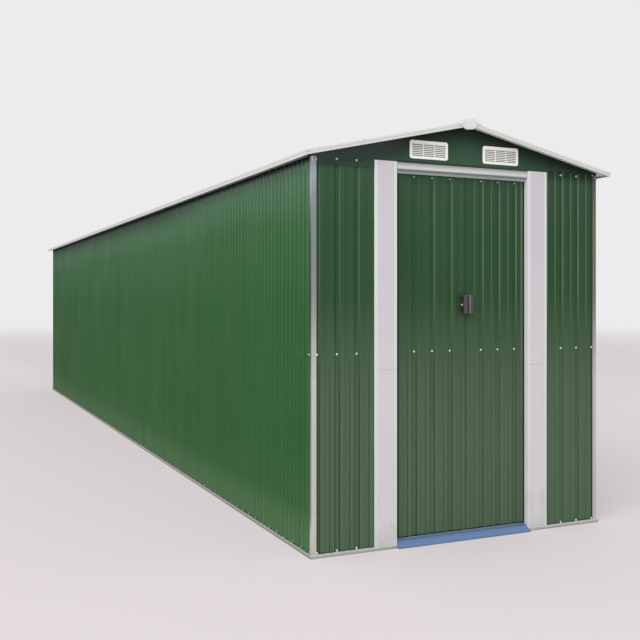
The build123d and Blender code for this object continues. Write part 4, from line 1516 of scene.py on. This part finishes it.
@dataclass
class DoorLeaf(Assembly):
    """One sliding leaf with its ribbed skin and its handle."""

    hand: Hand
    meeting: float = 0.026
    gap: float = 0.0016
    width: float = 0.4542
    low: float = 0.046
    high: float = 1.962
    inset: float = 0.034
    first_pan: float = 0.0995
    plate_width: float = 0.036
    plate_thickness: float = 0.003
    handle_low: float = 1.212
    handle_high: float = 1.320
    handle_offset: float = 0.004
    grip_width: float = 0.026
    grip_depth: float = 0.028
    grip_bar: float = 0.011
    screw_sunk: float = 0.0032
    screw_seat: float = 0.0002
    screw_row: float = 1.0155
    top_screw_row: float = 1.9400
    plate_screw_side: float = 0.0080
    plate_screw_end: float = 0.013
    bolt_side: float = 0.0135
    bolt_drop: float = 0.0038
    right_lead: float = 0.001
    foot: float = 0.0075

    @property
    def body(self) -> str:
        """Body of the frame that the leaf is."""
        return self.hand.label + "_door"

    @property
    def crowns(self) -> float:
        """Distance of the crowns of the ribs from the plane of the wall."""
        return END_SHEET.height - self.inset

    def build(self) -> None:
        """Makes the skin, the painted strips, the screws and the handle, and dresses the rest of the leaf.
        """
        near = self.meeting + self.hand.value * self.gap / 2
        start, stop = sorted((near, near + self.hand.value * self.width))
        lead = self.right_lead if self.hand is Hand.RIGHT else 0.0
        pan = self.meeting + self.hand.value * self.first_pan + lead
        blank = Blank()
        line = END_SHEET.pairs(END_SHEET.line(start, stop, pan), -self.inset)
        blank.strip(line, self.wall.at, (self.low, self.high), (0, 1, 2))
        blank.piece(self.body + "_sheet", "green_front",
                    [self.finishes.front_paint, self.finishes.backing, self.finishes.screw_green],
                    [self.body + "_skin"], self.body)
        for name, row, head in (("_screws", self.screw_row, None),
                                ("_top_screws", self.top_screw_row, self.finishes.screw_dull)):
            screws = ScrewSet(self.finishes, head)
            for number in range(3):
                along = pan + self.hand.value * 2 * END_SHEET.pitch * number
                screws.stud(self.wall, along, self.screw_seat - self.inset, row)
            screws.piece(self.body + name, self.body)
        self.seals()
        self.handle()
        for part, material in (("frame", self.finishes.inner_zinc), ("hangers", self.finishes.inner_zinc),
                               ("glides", self.finishes.nylon)):
            dress(f"{self.body}_{part}", material)

    def seals(self) -> None:
        """Makes the strips of painted shadow, and on the right of painted light, beside the jamb."""
        out = self.crowns
        blank = Blank()
        for start, stop, mark in SHADOW_STRIPS[self.hand]:
            strip = [(start, out - 0.0015), (start + 0.0008, out + 0.0006),
                     (stop - 0.0008, out + 0.0006), (stop, out - 0.0015)]
            blank.strip(bent(strip, -0.0008, 0.0006), self.wall.at,
                        (self.low + 0.002, self.high - 0.002), (mark,) * 3)
        blank.piece(self.body + "_draught_strip", "handle_grey",
                    [self.finishes.rubber, self.finishes.painted_light_strip], body=self.body)

    def section(self) -> list[Spot]:
        """Section of the grip, with a facet that slopes towards the meeting line.

        Returns:
            The corners as (across, back).
        """
        half, bar = self.grip_width / 2, self.grip_bar / 2
        corners = [(-half, 0.0014 - bar + 0.0040), (-half + 0.0012, 0.0002 - bar + 0.0030), (-0.0048, -bar),
                   (half - 0.0030, -bar), (half - 0.0008, 0.0008 - bar), (half, 0.0030 - bar),
                   (half, bar - 0.0020), (half - 0.0020, bar), (0.0020 - half, bar), (-half, bar - 0.0020)]
        return [(self.hand.value * across, back) for across, back in corners]

    def handle(self) -> None:
        """Makes the moulded plate, the bar grip that stands in front of it and their screws."""
        near = self.meeting + self.hand.value * self.handle_offset
        face = self.crowns + self.plate_thickness
        self.plate(near, self.crowns)
        self.grip(near, face)
        dark = ScrewSet(self.finishes, self.finishes.plate_plastic)
        spot = near + self.hand.value * (self.plate_width - self.plate_screw_side)
        for level in (self.handle_low + self.plate_screw_end, self.handle_high - self.plate_screw_end):
            dark.stud(self.wall, spot, face - self.screw_sunk, level)
        dark.piece(self.body + "_handle_screws", self.body)
        if self.hand is Hand.LEFT:
            bright = ScrewSet(self.finishes)
            middle = (self.handle_low + self.handle_high) / 2
            bright.stud(self.wall, near - self.plate_width + self.bolt_side, face - self.screw_seat,
                        middle - self.bolt_drop)
            bright.piece(self.body + "_handle_bolt", self.body)

    def plate(self, near: float, out: float) -> None:
        """Makes the plate of the handle.

        Args:
            near: Edge of the plate towards the other leaf.
            out: Distance of its back from the plane of the wall.
        """
        middle = (self.handle_low + self.handle_high) / 2
        height = self.handle_high - self.handle_low
        centre = near + self.hand.value * self.plate_width / 2
        rings = []
        for inset, level in ((0.0, out), (0.0, out + 0.0018), (0.0006, out + 0.0026), (0.0016, out + 0.003)):
            outline = rounded_rectangle(self.plate_width - 2 * inset, height - 2 * inset, 0.006 - inset)
            rings.append([self.wall.at(centre + u, level, middle + v) for u, v in outline])
        plate = Blank()
        plate.loft(rings)
        plate.piece(self.body + "_handle_plate", "handle_grey", [self.finishes.plate_plastic],
                    body=self.body)

    def grip(self, near: float, face: float) -> None:
        """Makes the bar grip.

        Args:
            near: Edge of the plate towards the other leaf.
            face: Distance of the plate's face from the plane of the wall.
        """
        reach = face + self.grip_depth - self.grip_bar / 2
        low, high = self.handle_low + self.foot, self.handle_high - self.foot
        path = bent([(face - 0.0004, low), (reach, low), (reach, high), (face - 0.0004, high)],
                    1.0, self.grip_bar, 6)
        centre = near + self.hand.value * self.grip_width / 2
        rings = []
        for (u, v), (u_left, v_left) in path:
            side = (u_left - u, v_left - v)
            rings.append([self.wall.at(centre + a, u + side[0] * b, v + side[1] * b)
                          for a, b in self.section()])
        grip = Blank()
        grip.loft(rings)
        # Painted highlight: the right grip's facet towards the meeting line takes the lighter copy.
        if self.hand is Hand.RIGHT:
            for number in range(len(grip.faces) - 2):
                grip.marks[number] = int(number % len(rings[0]) < 2)
        grip.piece(self.body + "_handle_grip", "handle_grey",
                   [self.finishes.grip_plastic, self.finishes.grip_highlight], [self.body + "_handle"],
                   self.body, bevel=0.0006, angle=20)


def dress(node: str, material: Material) -> None:
    """Gives a node of the frame its finish."""
    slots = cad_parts[node].data.materials
    slots.clear()
    slots.append(material)


@dataclass
class EndGable(Assembly):
    """Gable plate with its two vents."""

    end: End
    vent_width: float = 0.234
    vent_height: float = 0.097
    vent_low: float = 2.030
    vent_centre: float = 0.228
    border: float = 0.0150
    columns: int = 3
    rows: int = 7
    mullion: float = 0.0045
    mullion_depth: float = 0.0040

    @property
    def wall(self) -> WallFace:
        """Plane of the end wall."""
        return self.form.end_wall(self.end)

    def build(self) -> None:
        """Makes the vents and the plate of the front, and dresses the one of the back."""
        if self.end is End.FRONT:
            self.plate()
        else:
            dress(self.end.label + "_gable", self.finishes.gable_paint)
        blank = Blank()
        for sign in (-1, 1):
            self.vent(blank, sign * self.vent_centre)
        blank.piece(self.end.label + "_vents_louvred", "vent_white",
                    [self.finishes.vent_plastic, self.finishes.mesh_dark], [self.end.label + "_vents"])

    def plate(self) -> None:
        """Makes the front plate in upright strips, with openings behind the vents.

        The sheet beside the right post comes up in front of the plate's foot, and the other one
        ends behind it.
        """
        form = self.form
        inner, outer = self.vent_centre - self.vent_width / 2, self.vent_centre + self.vent_width / 2
        post = form.half_width - form.post_exposed + form.clearance
        above = form.wall_height + form.clearance
        feet = {Hand.LEFT: form.plate_low, Hand.RIGHT: form.bare_top - 0.001}
        blank = Blank()
        for hand in Hand:
            jamb = form.jamb_edges(hand)[1] + form.clearance
            edges = (0.0, inner + self.border, outer - self.border, jamb, post, form.half_width)
            lows = (above, above, above, feet[hand], above)
            for near, far, low in zip(edges, edges[1:], lows):
                tops = [form.roof_under(x) - form.clearance for x in (far, near)]
                spans = [((low, low), tops)]
                if near == inner + self.border:
                    sill = self.vent_low + self.border
                    lintel = self.vent_low + self.vent_height - self.border
                    spans = [((low, low), (sill, sill)), ((lintel, lintel), tops)]
                for (left, right), (far_top, near_top) in spans:
                    outline = [(hand.value * near, left), (hand.value * far, right),
                               (hand.value * far, far_top), (hand.value * near, near_top)]
                    blank.prism(outline, lambda u, v, out: self.wall.at(u, out, v),
                                form.plate_out - form.sheet, form.plate_out)
        blank.piece("front_gable_plate", "green_front", [self.finishes.gable_paint],
                    ["front_gable"])

    def vent(self, blank: Blank, centre: float) -> None:
        """Adds one vent: a rounded frame, two mullions and sloping louvres.

        Args:
            blank: Gathers the faces.
            centre: Middle of the vent across the wall.
        """
        base = self.form.plate_out
        middle = self.vent_low + self.vent_height / 2
        rings = []
        for inset, out, radius in ((0.0, 0.0, 0.013), (0.0, 0.0026, 0.013), (0.0016, 0.0042, 0.0115),
                                   (self.border - 0.0012, 0.0042, 0.003), (self.border, 0.0030, 0.002),
                                   (self.border, 0.0, 0.002)):
            outline = rounded_rectangle(self.vent_width - 2 * inset, self.vent_height - 2 * inset, radius)
            rings.append([self.wall.at(centre + u, base + out, middle + v) for u, v in outline])
        blank.loft([*rings, rings[0]], caps=False)
        inner = self.vent_width - 2 * self.border
        column = (inner - (self.columns - 1) * self.mullion) / self.columns
        pitch = (self.vent_height - 2 * self.border) / self.rows
        for number in range(self.columns - 1):
            place = centre - inner / 2 + (number + 1) * column + (number + 0.5) * self.mullion
            half, depth = self.mullion / 2, self.mullion_depth
            outline = [(-half, 0.0), (-half, depth - 0.001), (0.001 - half, depth), (half - 0.001, depth),
                       (half, depth - 0.001), (half, 0.0)]
            blank.prism(outline, lambda u, v, z, at=place: self.wall.at(at + u, base + v, z),
                        middle - self.vent_height / 2 + self.border - 0.001,
                        middle + self.vent_height / 2 - self.border + 0.001)
        # Screen behind the louvres, its dark tone painted shade between the blades.
        screen = rounded_rectangle(inner, self.vent_height - 2 * self.border, 0.001)
        before = len(blank.faces)
        blank.loft([[self.wall.at(centre + u, base + out, middle + v) for u, v in screen]
                    for out in (0.0002, 0.0006)])
        for number in range(before, len(blank.faces)):
            blank.marks[number] = 1
        for row in range(self.rows):
            low = middle - self.vent_height / 2 + self.border + row * pitch
            blade = bent([(0.0008, low + pitch * 0.97), (0.0030, low + pitch * 0.86),
                          (0.0042, low + pitch * 0.62), (0.0040, low + pitch * 0.42)], 0.0008, 0.001)
            for number in range(self.columns):
                start = centre - inner / 2 + number * (column + self.mullion)
                blank.strip(blade, lambda u, v, along: self.wall.at(along, base + u, v),
                            (start - 0.0005, start + column + 0.0005))


@dataclass
class Roof(Assembly):
    """Ribbed roof sheets, their trims and the ridge capping."""

    ridge_slot: float = 0.012
    rake_height: float = 0.026
    rake_flange: float = 0.045
    eave_heights: Spot = (0.0285, 0.0225)
    eave_flange: float = 0.040
    cap_half: float = 0.075
    cap_shoulder: float = 0.048
    cap_crown: float = 0.030
    cap_rise: float = 0.0122
    end_width: float = 0.125
    end_height: float = 0.059
    end_shift: float = -0.0085
    end_rise: float = 0.0022
    end_tilt: float = 5.0
    end_screw: float = 0.039
    sheet: RibbedSheet = RibbedSheet(0.20775, 0.060, 0.024, 0.012, 0.0, 0.004)
    ribs_per_sheet: int = 4
    joints: int = 10
    lap_width: float = 0.012
    lap_lift: float = 0.0010
    screw_runs: Spot = (0.115, 0.450)
    eave_screws: float = 0.090
    screw_reach: int = 22
    trim_screws: int = 23
    trim_screw_pitch: float = 0.4155
    eave_screw_inset: float = 0.020
    rake_screw_inset: float = 0.022
    rake_screws: tuple[float, ...] = (0.13, 0.38, 0.63, 0.88)
    cap_screws: float = 0.064

    def build(self) -> None:
        """Makes the pieces of the roof."""
        for hand in Hand:
            self.slope(hand)
            self.eave(hand)
        for end in End:
            self.rakes(end)
            self.ridge_end(end)
        self.cap()

    @property
    def stations(self) -> list[float]:
        """Places of the trim screws along the shed."""
        return [(number - self.trim_screws // 2) * self.trim_screw_pitch
                for number in range(self.trim_screws)]

    @staticmethod
    def drip(edge: float, top: float, low: float, hem: float) -> list[Spot]:
        """Face of a trim from its top edge down, with a fine groove and an edge turned under.

        Args:
            edge: Place of the face.
            top: Height of its upper edge.
            low: Height of its lower edge.
            hem: How far the lower edge is turned in.

        Returns:
            The bends of the face.
        """
        groove = ((0.0, 0.0), (0.0, 0.0115), (0.0015, 0.0125), (0.0015, 0.0145), (0.0, 0.0155))
        return [*((edge - inset, top - drop) for inset, drop in groove), (edge, low),
                (edge - hem, low + 0.0005)]

    def slope(self, hand: Hand) -> None:
        """Makes the sheets of one slope with flat-topped ribs, and their screws.

        Args:
            hand: Side of the shed.
        """
        form, sheet = self.form, self.sheet
        sine, cosine = math.sin(form.roof_angle), math.cos(form.roof_angle)
        down = Vector((hand.value * cosine, 0, -sine))
        up = Vector((hand.value * sine, 0, cosine))
        origin = Vector((hand.value * self.ridge_slot, 0, form.roof_under(self.ridge_slot)))
        length = (form.roof_half_width - self.ridge_slot - form.trim - form.clearance) / cosine
        length -= (form.sheet + form.roof_rib) * form.rise

        def place(y: float, out: float, run: float) -> Vector:
            """Place on this slope."""
            return origin + Vector((0, y, 0)) + up * out + down * run

        limit = form.roof_half_length - form.trim - form.clearance
        cover = self.ribs_per_sheet * sheet.pitch
        pan = cover / 2
        joints = [(number - (self.joints - 1) / 2) * cover for number in range(self.joints)]
        blank = Blank()
        for start, stop in zip([-limit, *joints], [*joints, limit]):
            lap = None if stop == limit else stop
            end = stop if lap is None else stop + self.lap_width
            line = sheet.line(start, end, pan, lap, self.lap_lift)
            blank.strip(sheet.pairs(line, form.sheet), place, (0.0, length), (0, 1, 0))
        name = "roof_" + hand.label
        blank.piece(name + "_sheets", "green_wall",
                    [self.finishes.roof_paint, self.finishes.roof_backing], [name])
        screws = ScrewSet(self.finishes)
        for run in (*self.screw_runs, length - self.eave_screws):
            for number in range(-self.screw_reach, self.screw_reach + 1):
                y = pan + (number - 0.5) * sheet.pitch
                if abs(y) < limit - 0.05:
                    screws.add(place(y, form.sheet + form.roof_rib, run), up)
        screws.piece(name + "_screws")

    def eave(self, hand: Hand) -> None:
        """Makes the angle along one eave, its lower edge turned under.

        Args:
            hand: Side of the shed.
        """
        form = self.form
        edge, inner = form.roof_half_width, form.roof_half_width - self.eave_flange
        top = form.trim_top(edge)
        low = top - self.eave_heights[0 if hand is Hand.LEFT else 1]
        line = [(inner, form.trim_top(inner)), *self.drip(edge, top, low, 0.006)]
        limit = form.roof_half_length - form.trim
        blank = Blank()
        blank.strip(bent(line, -form.trim, 0.0020), lambda x, z, y: Vector((hand.value * x, y, z)),
                    (-limit, limit))
        name = "eave_trim_" + hand.label
        blank.piece(name + "_folded", "white_trim", [self.finishes.roof_trim], [name])
        screws = ScrewSet(self.finishes)
        x = edge - self.eave_screw_inset
        for y in self.stations:
            screws.add(Vector((hand.value * x, y, form.trim_top(x))),
                       Vector((hand.value * form.rise, 0, 1)))
        screws.piece(name + "_screws")

    def rakes(self, end: End) -> None:
        """Makes the pair of angles along the sloping edges of one end.

        Args:
            end: End of the shed.
        """
        form = self.form
        line = [(-self.rake_flange, 0.0), *self.drip(0.0, 0.0, -self.rake_height, 0.005)]
        pairs = bent(line, -form.trim, 0.0020)
        short = bent([(-form.trim - 0.0002, 0.0), *line[1:]], -form.trim, 0.0006)
        lid_stop = form.roof_half_width - self.eave_flange - 0.0005
        blank = Blank()
        screws = ScrewSet(self.finishes)
        for hand in Hand:
            def place(out: float, drop: float, x: float, side: int = hand.value) -> Vector:
                """Place on this edge."""
                return Vector((side * x, end.value * (form.roof_half_length + out),
                               form.trim_top(x) + drop))
            blank.strip(pairs, place, (0.0005, lid_stop))
            blank.strip(short, place, (lid_stop, form.roof_half_width))
            for x in self.rake_screws:
                screws.add(place(-self.rake_screw_inset, 0.0, x),
                           Vector((hand.value * form.rise, 0, 1)))
        name = "rake_trims_" + end.label
        blank.piece(name + "_folded", "white_trim", [self.finishes.roof_trim], [name])
        screws.piece(name + "_screws")

    def cap(self) -> None:
        """Makes the folded capping of the ridge."""
        form = self.form

        def lift(x: float) -> float:
            """Height of the underside where the capping lies on the trims."""
            return form.trim_top(x) + form.clearance

        top = form.trim_top(0) + self.cap_rise - form.trim
        half = [(self.cap_crown, top), (self.cap_shoulder, lift(self.cap_shoulder)),
                (self.cap_half, lift(self.cap_half))]
        line = [*((-x, z) for x, z in reversed(half)), *half]
        blank = Blank()
        blank.strip(bent(line, form.trim, 0.0040, 3), lambda x, z, y: Vector((x, y, z)),
                    (-form.roof_half_length, form.roof_half_length))
        blank.piece("ridge_cap_folded", "white_trim", [self.finishes.roof_trim], ["ridge_cap"])
        screws = ScrewSet(self.finishes)
        for sign in (-1, 1):
            for y in self.stations:
                screws.add(Vector((sign * self.cap_screws, y, lift(self.cap_screws) + form.trim)),
                           Vector((sign * form.rise, 0, 1)))
        screws.piece("ridge_cap_screws")

    def ridge_end(self, end: End) -> None:
        """Makes the moulded piece that closes one end of the capping.

        Args:
            end: End of the shed.
        """
        form = self.form
        wall = WallFace((0, end.value, 0), form.roof_half_length)
        high = form.trim_top(0) + self.cap_rise + self.end_rise
        middle = high - self.end_height / 2
        half, top, low = self.end_width / 2, self.end_height / 2, -self.end_height / 2
        right = [(0.0145, top), (half, top - 0.0240), (half - 0.018, top - 0.0400),
                 (half - 0.0285, low + 0.007), (half - 0.043, low)]
        left = [(-u, v) for u, v in right]
        outline = [(0.0, top), *right, *reversed(left), (0.0, top)]
        slant = math.tan(math.radians(self.end_tilt)) if end is End.FRONT else 0.0

        def turned(u: float, v: float, out: float) -> Vector:
            """Place on the piece, which sits a little askew on the front."""
            return wall.at(u - end.value * self.end_shift, out, middle + v + u * slant)

        def ring(scale: float, out: float) -> list[Vector]:
            """Outline with softened corners, drawn in by a scale."""
            softened = bent(outline, 1.0, 0.006, 3)[:-1]
            return [turned(u * scale, v * scale, out) for (u, v), _ in softened]

        blank = Blank()
        blank.loft([ring(1.0, -0.0002), ring(1.0, 0.0046), ring(0.975, 0.0066), ring(0.93, 0.0074),
                    ring(0.90, 0.0068), ring(0.5, 0.0074)])
        name = "ridge_end_" + end.label
        blank.piece(name + "_moulded", "vent_white", [self.finishes.ridge_plastic], [name])
        screws = ScrewSet(self.finishes)
        for sign in (-1, 1):
            screws.add(turned(sign * self.end_screw, 0.003, 0.0034), Vector(wall.outward))
        screws.piece(name + "_screws")


@dataclass
class InnerFrame:
    """Rails, beam, purlins and trusses that show through the doorway."""

    finishes: Finishes
    nodes: tuple[str, ...] = ("left_wall_rails", "right_wall_rails", "front_wall_rails",
                              "back_wall_rails", "door_track", "ridge_beam", "roof_purlins",
                              "roof_trusses")

    def build(self) -> None:
        """Dresses the pieces of the inner frame."""
        for node in self.nodes:
            dress(node, self.finishes.inner_zinc)
            LOG.info("%s: dressed", node)


@dataclass
class Studio:
    """Pale floor, soft light and the camera."""

    camera_place: Triple = (-2.689, -8.682, 1.287)
    camera_heading: float = -24.35
    camera_lens: float = 50.06
    camera_shift: float = -0.0308
    ambient: float = 0.82
    key_power: float = 560.0
    floor_half: float = 60.0
    shed_half: Spot = (0.900, 4.630)
    floor_lift: float = 0.36
    left_lift: float = 0.64
    backdrop: Triple = (236.0, 236.0, 236.0)

    def build(self) -> None:
        """Makes the studio."""
        self.floor()
        self.world()
        self.lamp("key_light", (-7.5, -9.5, 9.0), (0.0, -2.0, 0.6), 6.0, self.key_power)
        self.lamp("fill_light", (8.5, -7.0, 6.0), (0.0, -2.5, 0.8), 5.0, self.key_power * 0.2)
        self.camera()
        bpy.context.scene.view_settings.view_transform = "Standard"

    def floor(self) -> None:
        """Makes the plain floor, which fades into the background far away."""
        mesh = bpy.data.meshes.new("floor")
        half = self.floor_half
        mesh.from_pydata([(-half, -half, 0), (half, -half, 0), (half, half, 0), (-half, half, 0)], [],
                         [(0, 1, 2, 3)])
        made = bpy.data.objects.new("floor", mesh)
        bpy.context.scene.collection.objects.link(made)
        graph = Graph("studio_floor")
        colour = graph.vary(shade(225, 217, 219), graph.noise((0.8, 0.8, 1.0), 5.0), 0.015)
        graph.finish(colour, 0.8, Specular_IOR_Level=0.05)
        across = graph.parts(graph.place)[0]
        x, y, _ = (graph.maths("ABSOLUTE", part) for part in graph.parts(graph.place))
        outside = graph.maths("MAXIMUM", graph.maths("GREATER_THAN", x, self.shed_half[0]),
                              graph.maths("GREATER_THAN", y, self.shed_half[1]))
        far = graph.node("VectorMath", {0: graph.place}, operation="LENGTH").outputs["Value"]
        # Painted light: the floor's glow for camera rays is stronger left of the shed, lifting the shed's
        # shadow there.
        lift = graph.band(across, -0.5, -1.0, self.floor_lift, self.left_lift)
        fade = graph.band(far, 12.0, 40.0, lift, 1.0)
        seen = graph.times(graph.seen(), outside)
        tone = graph.blend(graph.band(far, 8.0, 40.0), shade(226, 217, 219), shade(*self.backdrop))
        glow = graph.node("Emission", {"Color": tone, "Strength": 1.0})
        mix = graph.node("MixShader", {0: graph.times(fade, seen), 1: graph.surface.outputs[0],
                                       2: glow.outputs[0]})
        graph.feed(graph.output.inputs["Surface"], mix.outputs[0])
        mesh.materials.append(graph.material)

    def world(self) -> None:
        """Makes soft light from all round and a pale background."""
        world = bpy.data.worlds.new("studio")
        world.use_nodes = True
        bpy.context.scene.world = world
        wiring = Wiring(world.node_tree)
        light = wiring.node("Background", {"Color": (0.97, 0.99, 1.0, 1.0), "Strength": self.ambient})
        backdrop = wiring.node("Background", {"Color": shade(*self.backdrop)})
        mix = wiring.node("MixShader", {0: wiring.seen(), 1: light.outputs[0], 2: backdrop.outputs[0]})
        wiring.node("OutputWorld", {"Surface": mix.outputs[0]})

    def lamp(self, name: str, place: Triple, target: Triple, size: float, power: float) -> None:
        """Hangs a large soft lamp.

        Args:
            name: Name of the lamp.
            place: Where it hangs.
            target: What it points at.
            size: Side of its square.
            power: Power in watts.
        """
        data = bpy.data.lights.new(name, "AREA")
        data.size = size
        data.energy = power
        made = bpy.data.objects.new(name, data)
        made.location = place
        made.rotation_euler = (Vector(target) - Vector(place)).to_track_quat("-Z", "Y").to_euler()
        bpy.context.scene.collection.objects.link(made)

    def camera(self) -> None:
        """Sets the camera to the view of the photograph."""
        data = bpy.data.cameras.new("camera")
        data.lens = self.camera_lens
        data.shift_y = self.camera_shift
        data.clip_end = 200.0
        made = bpy.data.objects.new("camera", data)
        made.location = self.camera_place
        made.rotation_euler = (math.radians(90), 0.0, math.radians(self.camera_heading))
        bpy.context.scene.collection.objects.link(made)
        bpy.context.scene.camera = made


def main() -> None:
    """Builds the shed and the studio."""
    logging.basicConfig(level=logging.INFO, format="%(message)s")
    form, finishes = ShedForm(), Finishes()
    Studio().build()
    BaseFrame(form, finishes).build()
    CornerPosts(form, finishes).build()
    Cladding(form, finishes).build()
    for end in End:
        EndGable(form, finishes, end).build()
    Doorway(form, finishes).build()
    for hand in Hand:
        DoorLeaf(form, finishes, hand).build()
    Roof(form, finishes).build()
    InnerFrame(finishes).build()


if __name__ == "__main__":
    main()
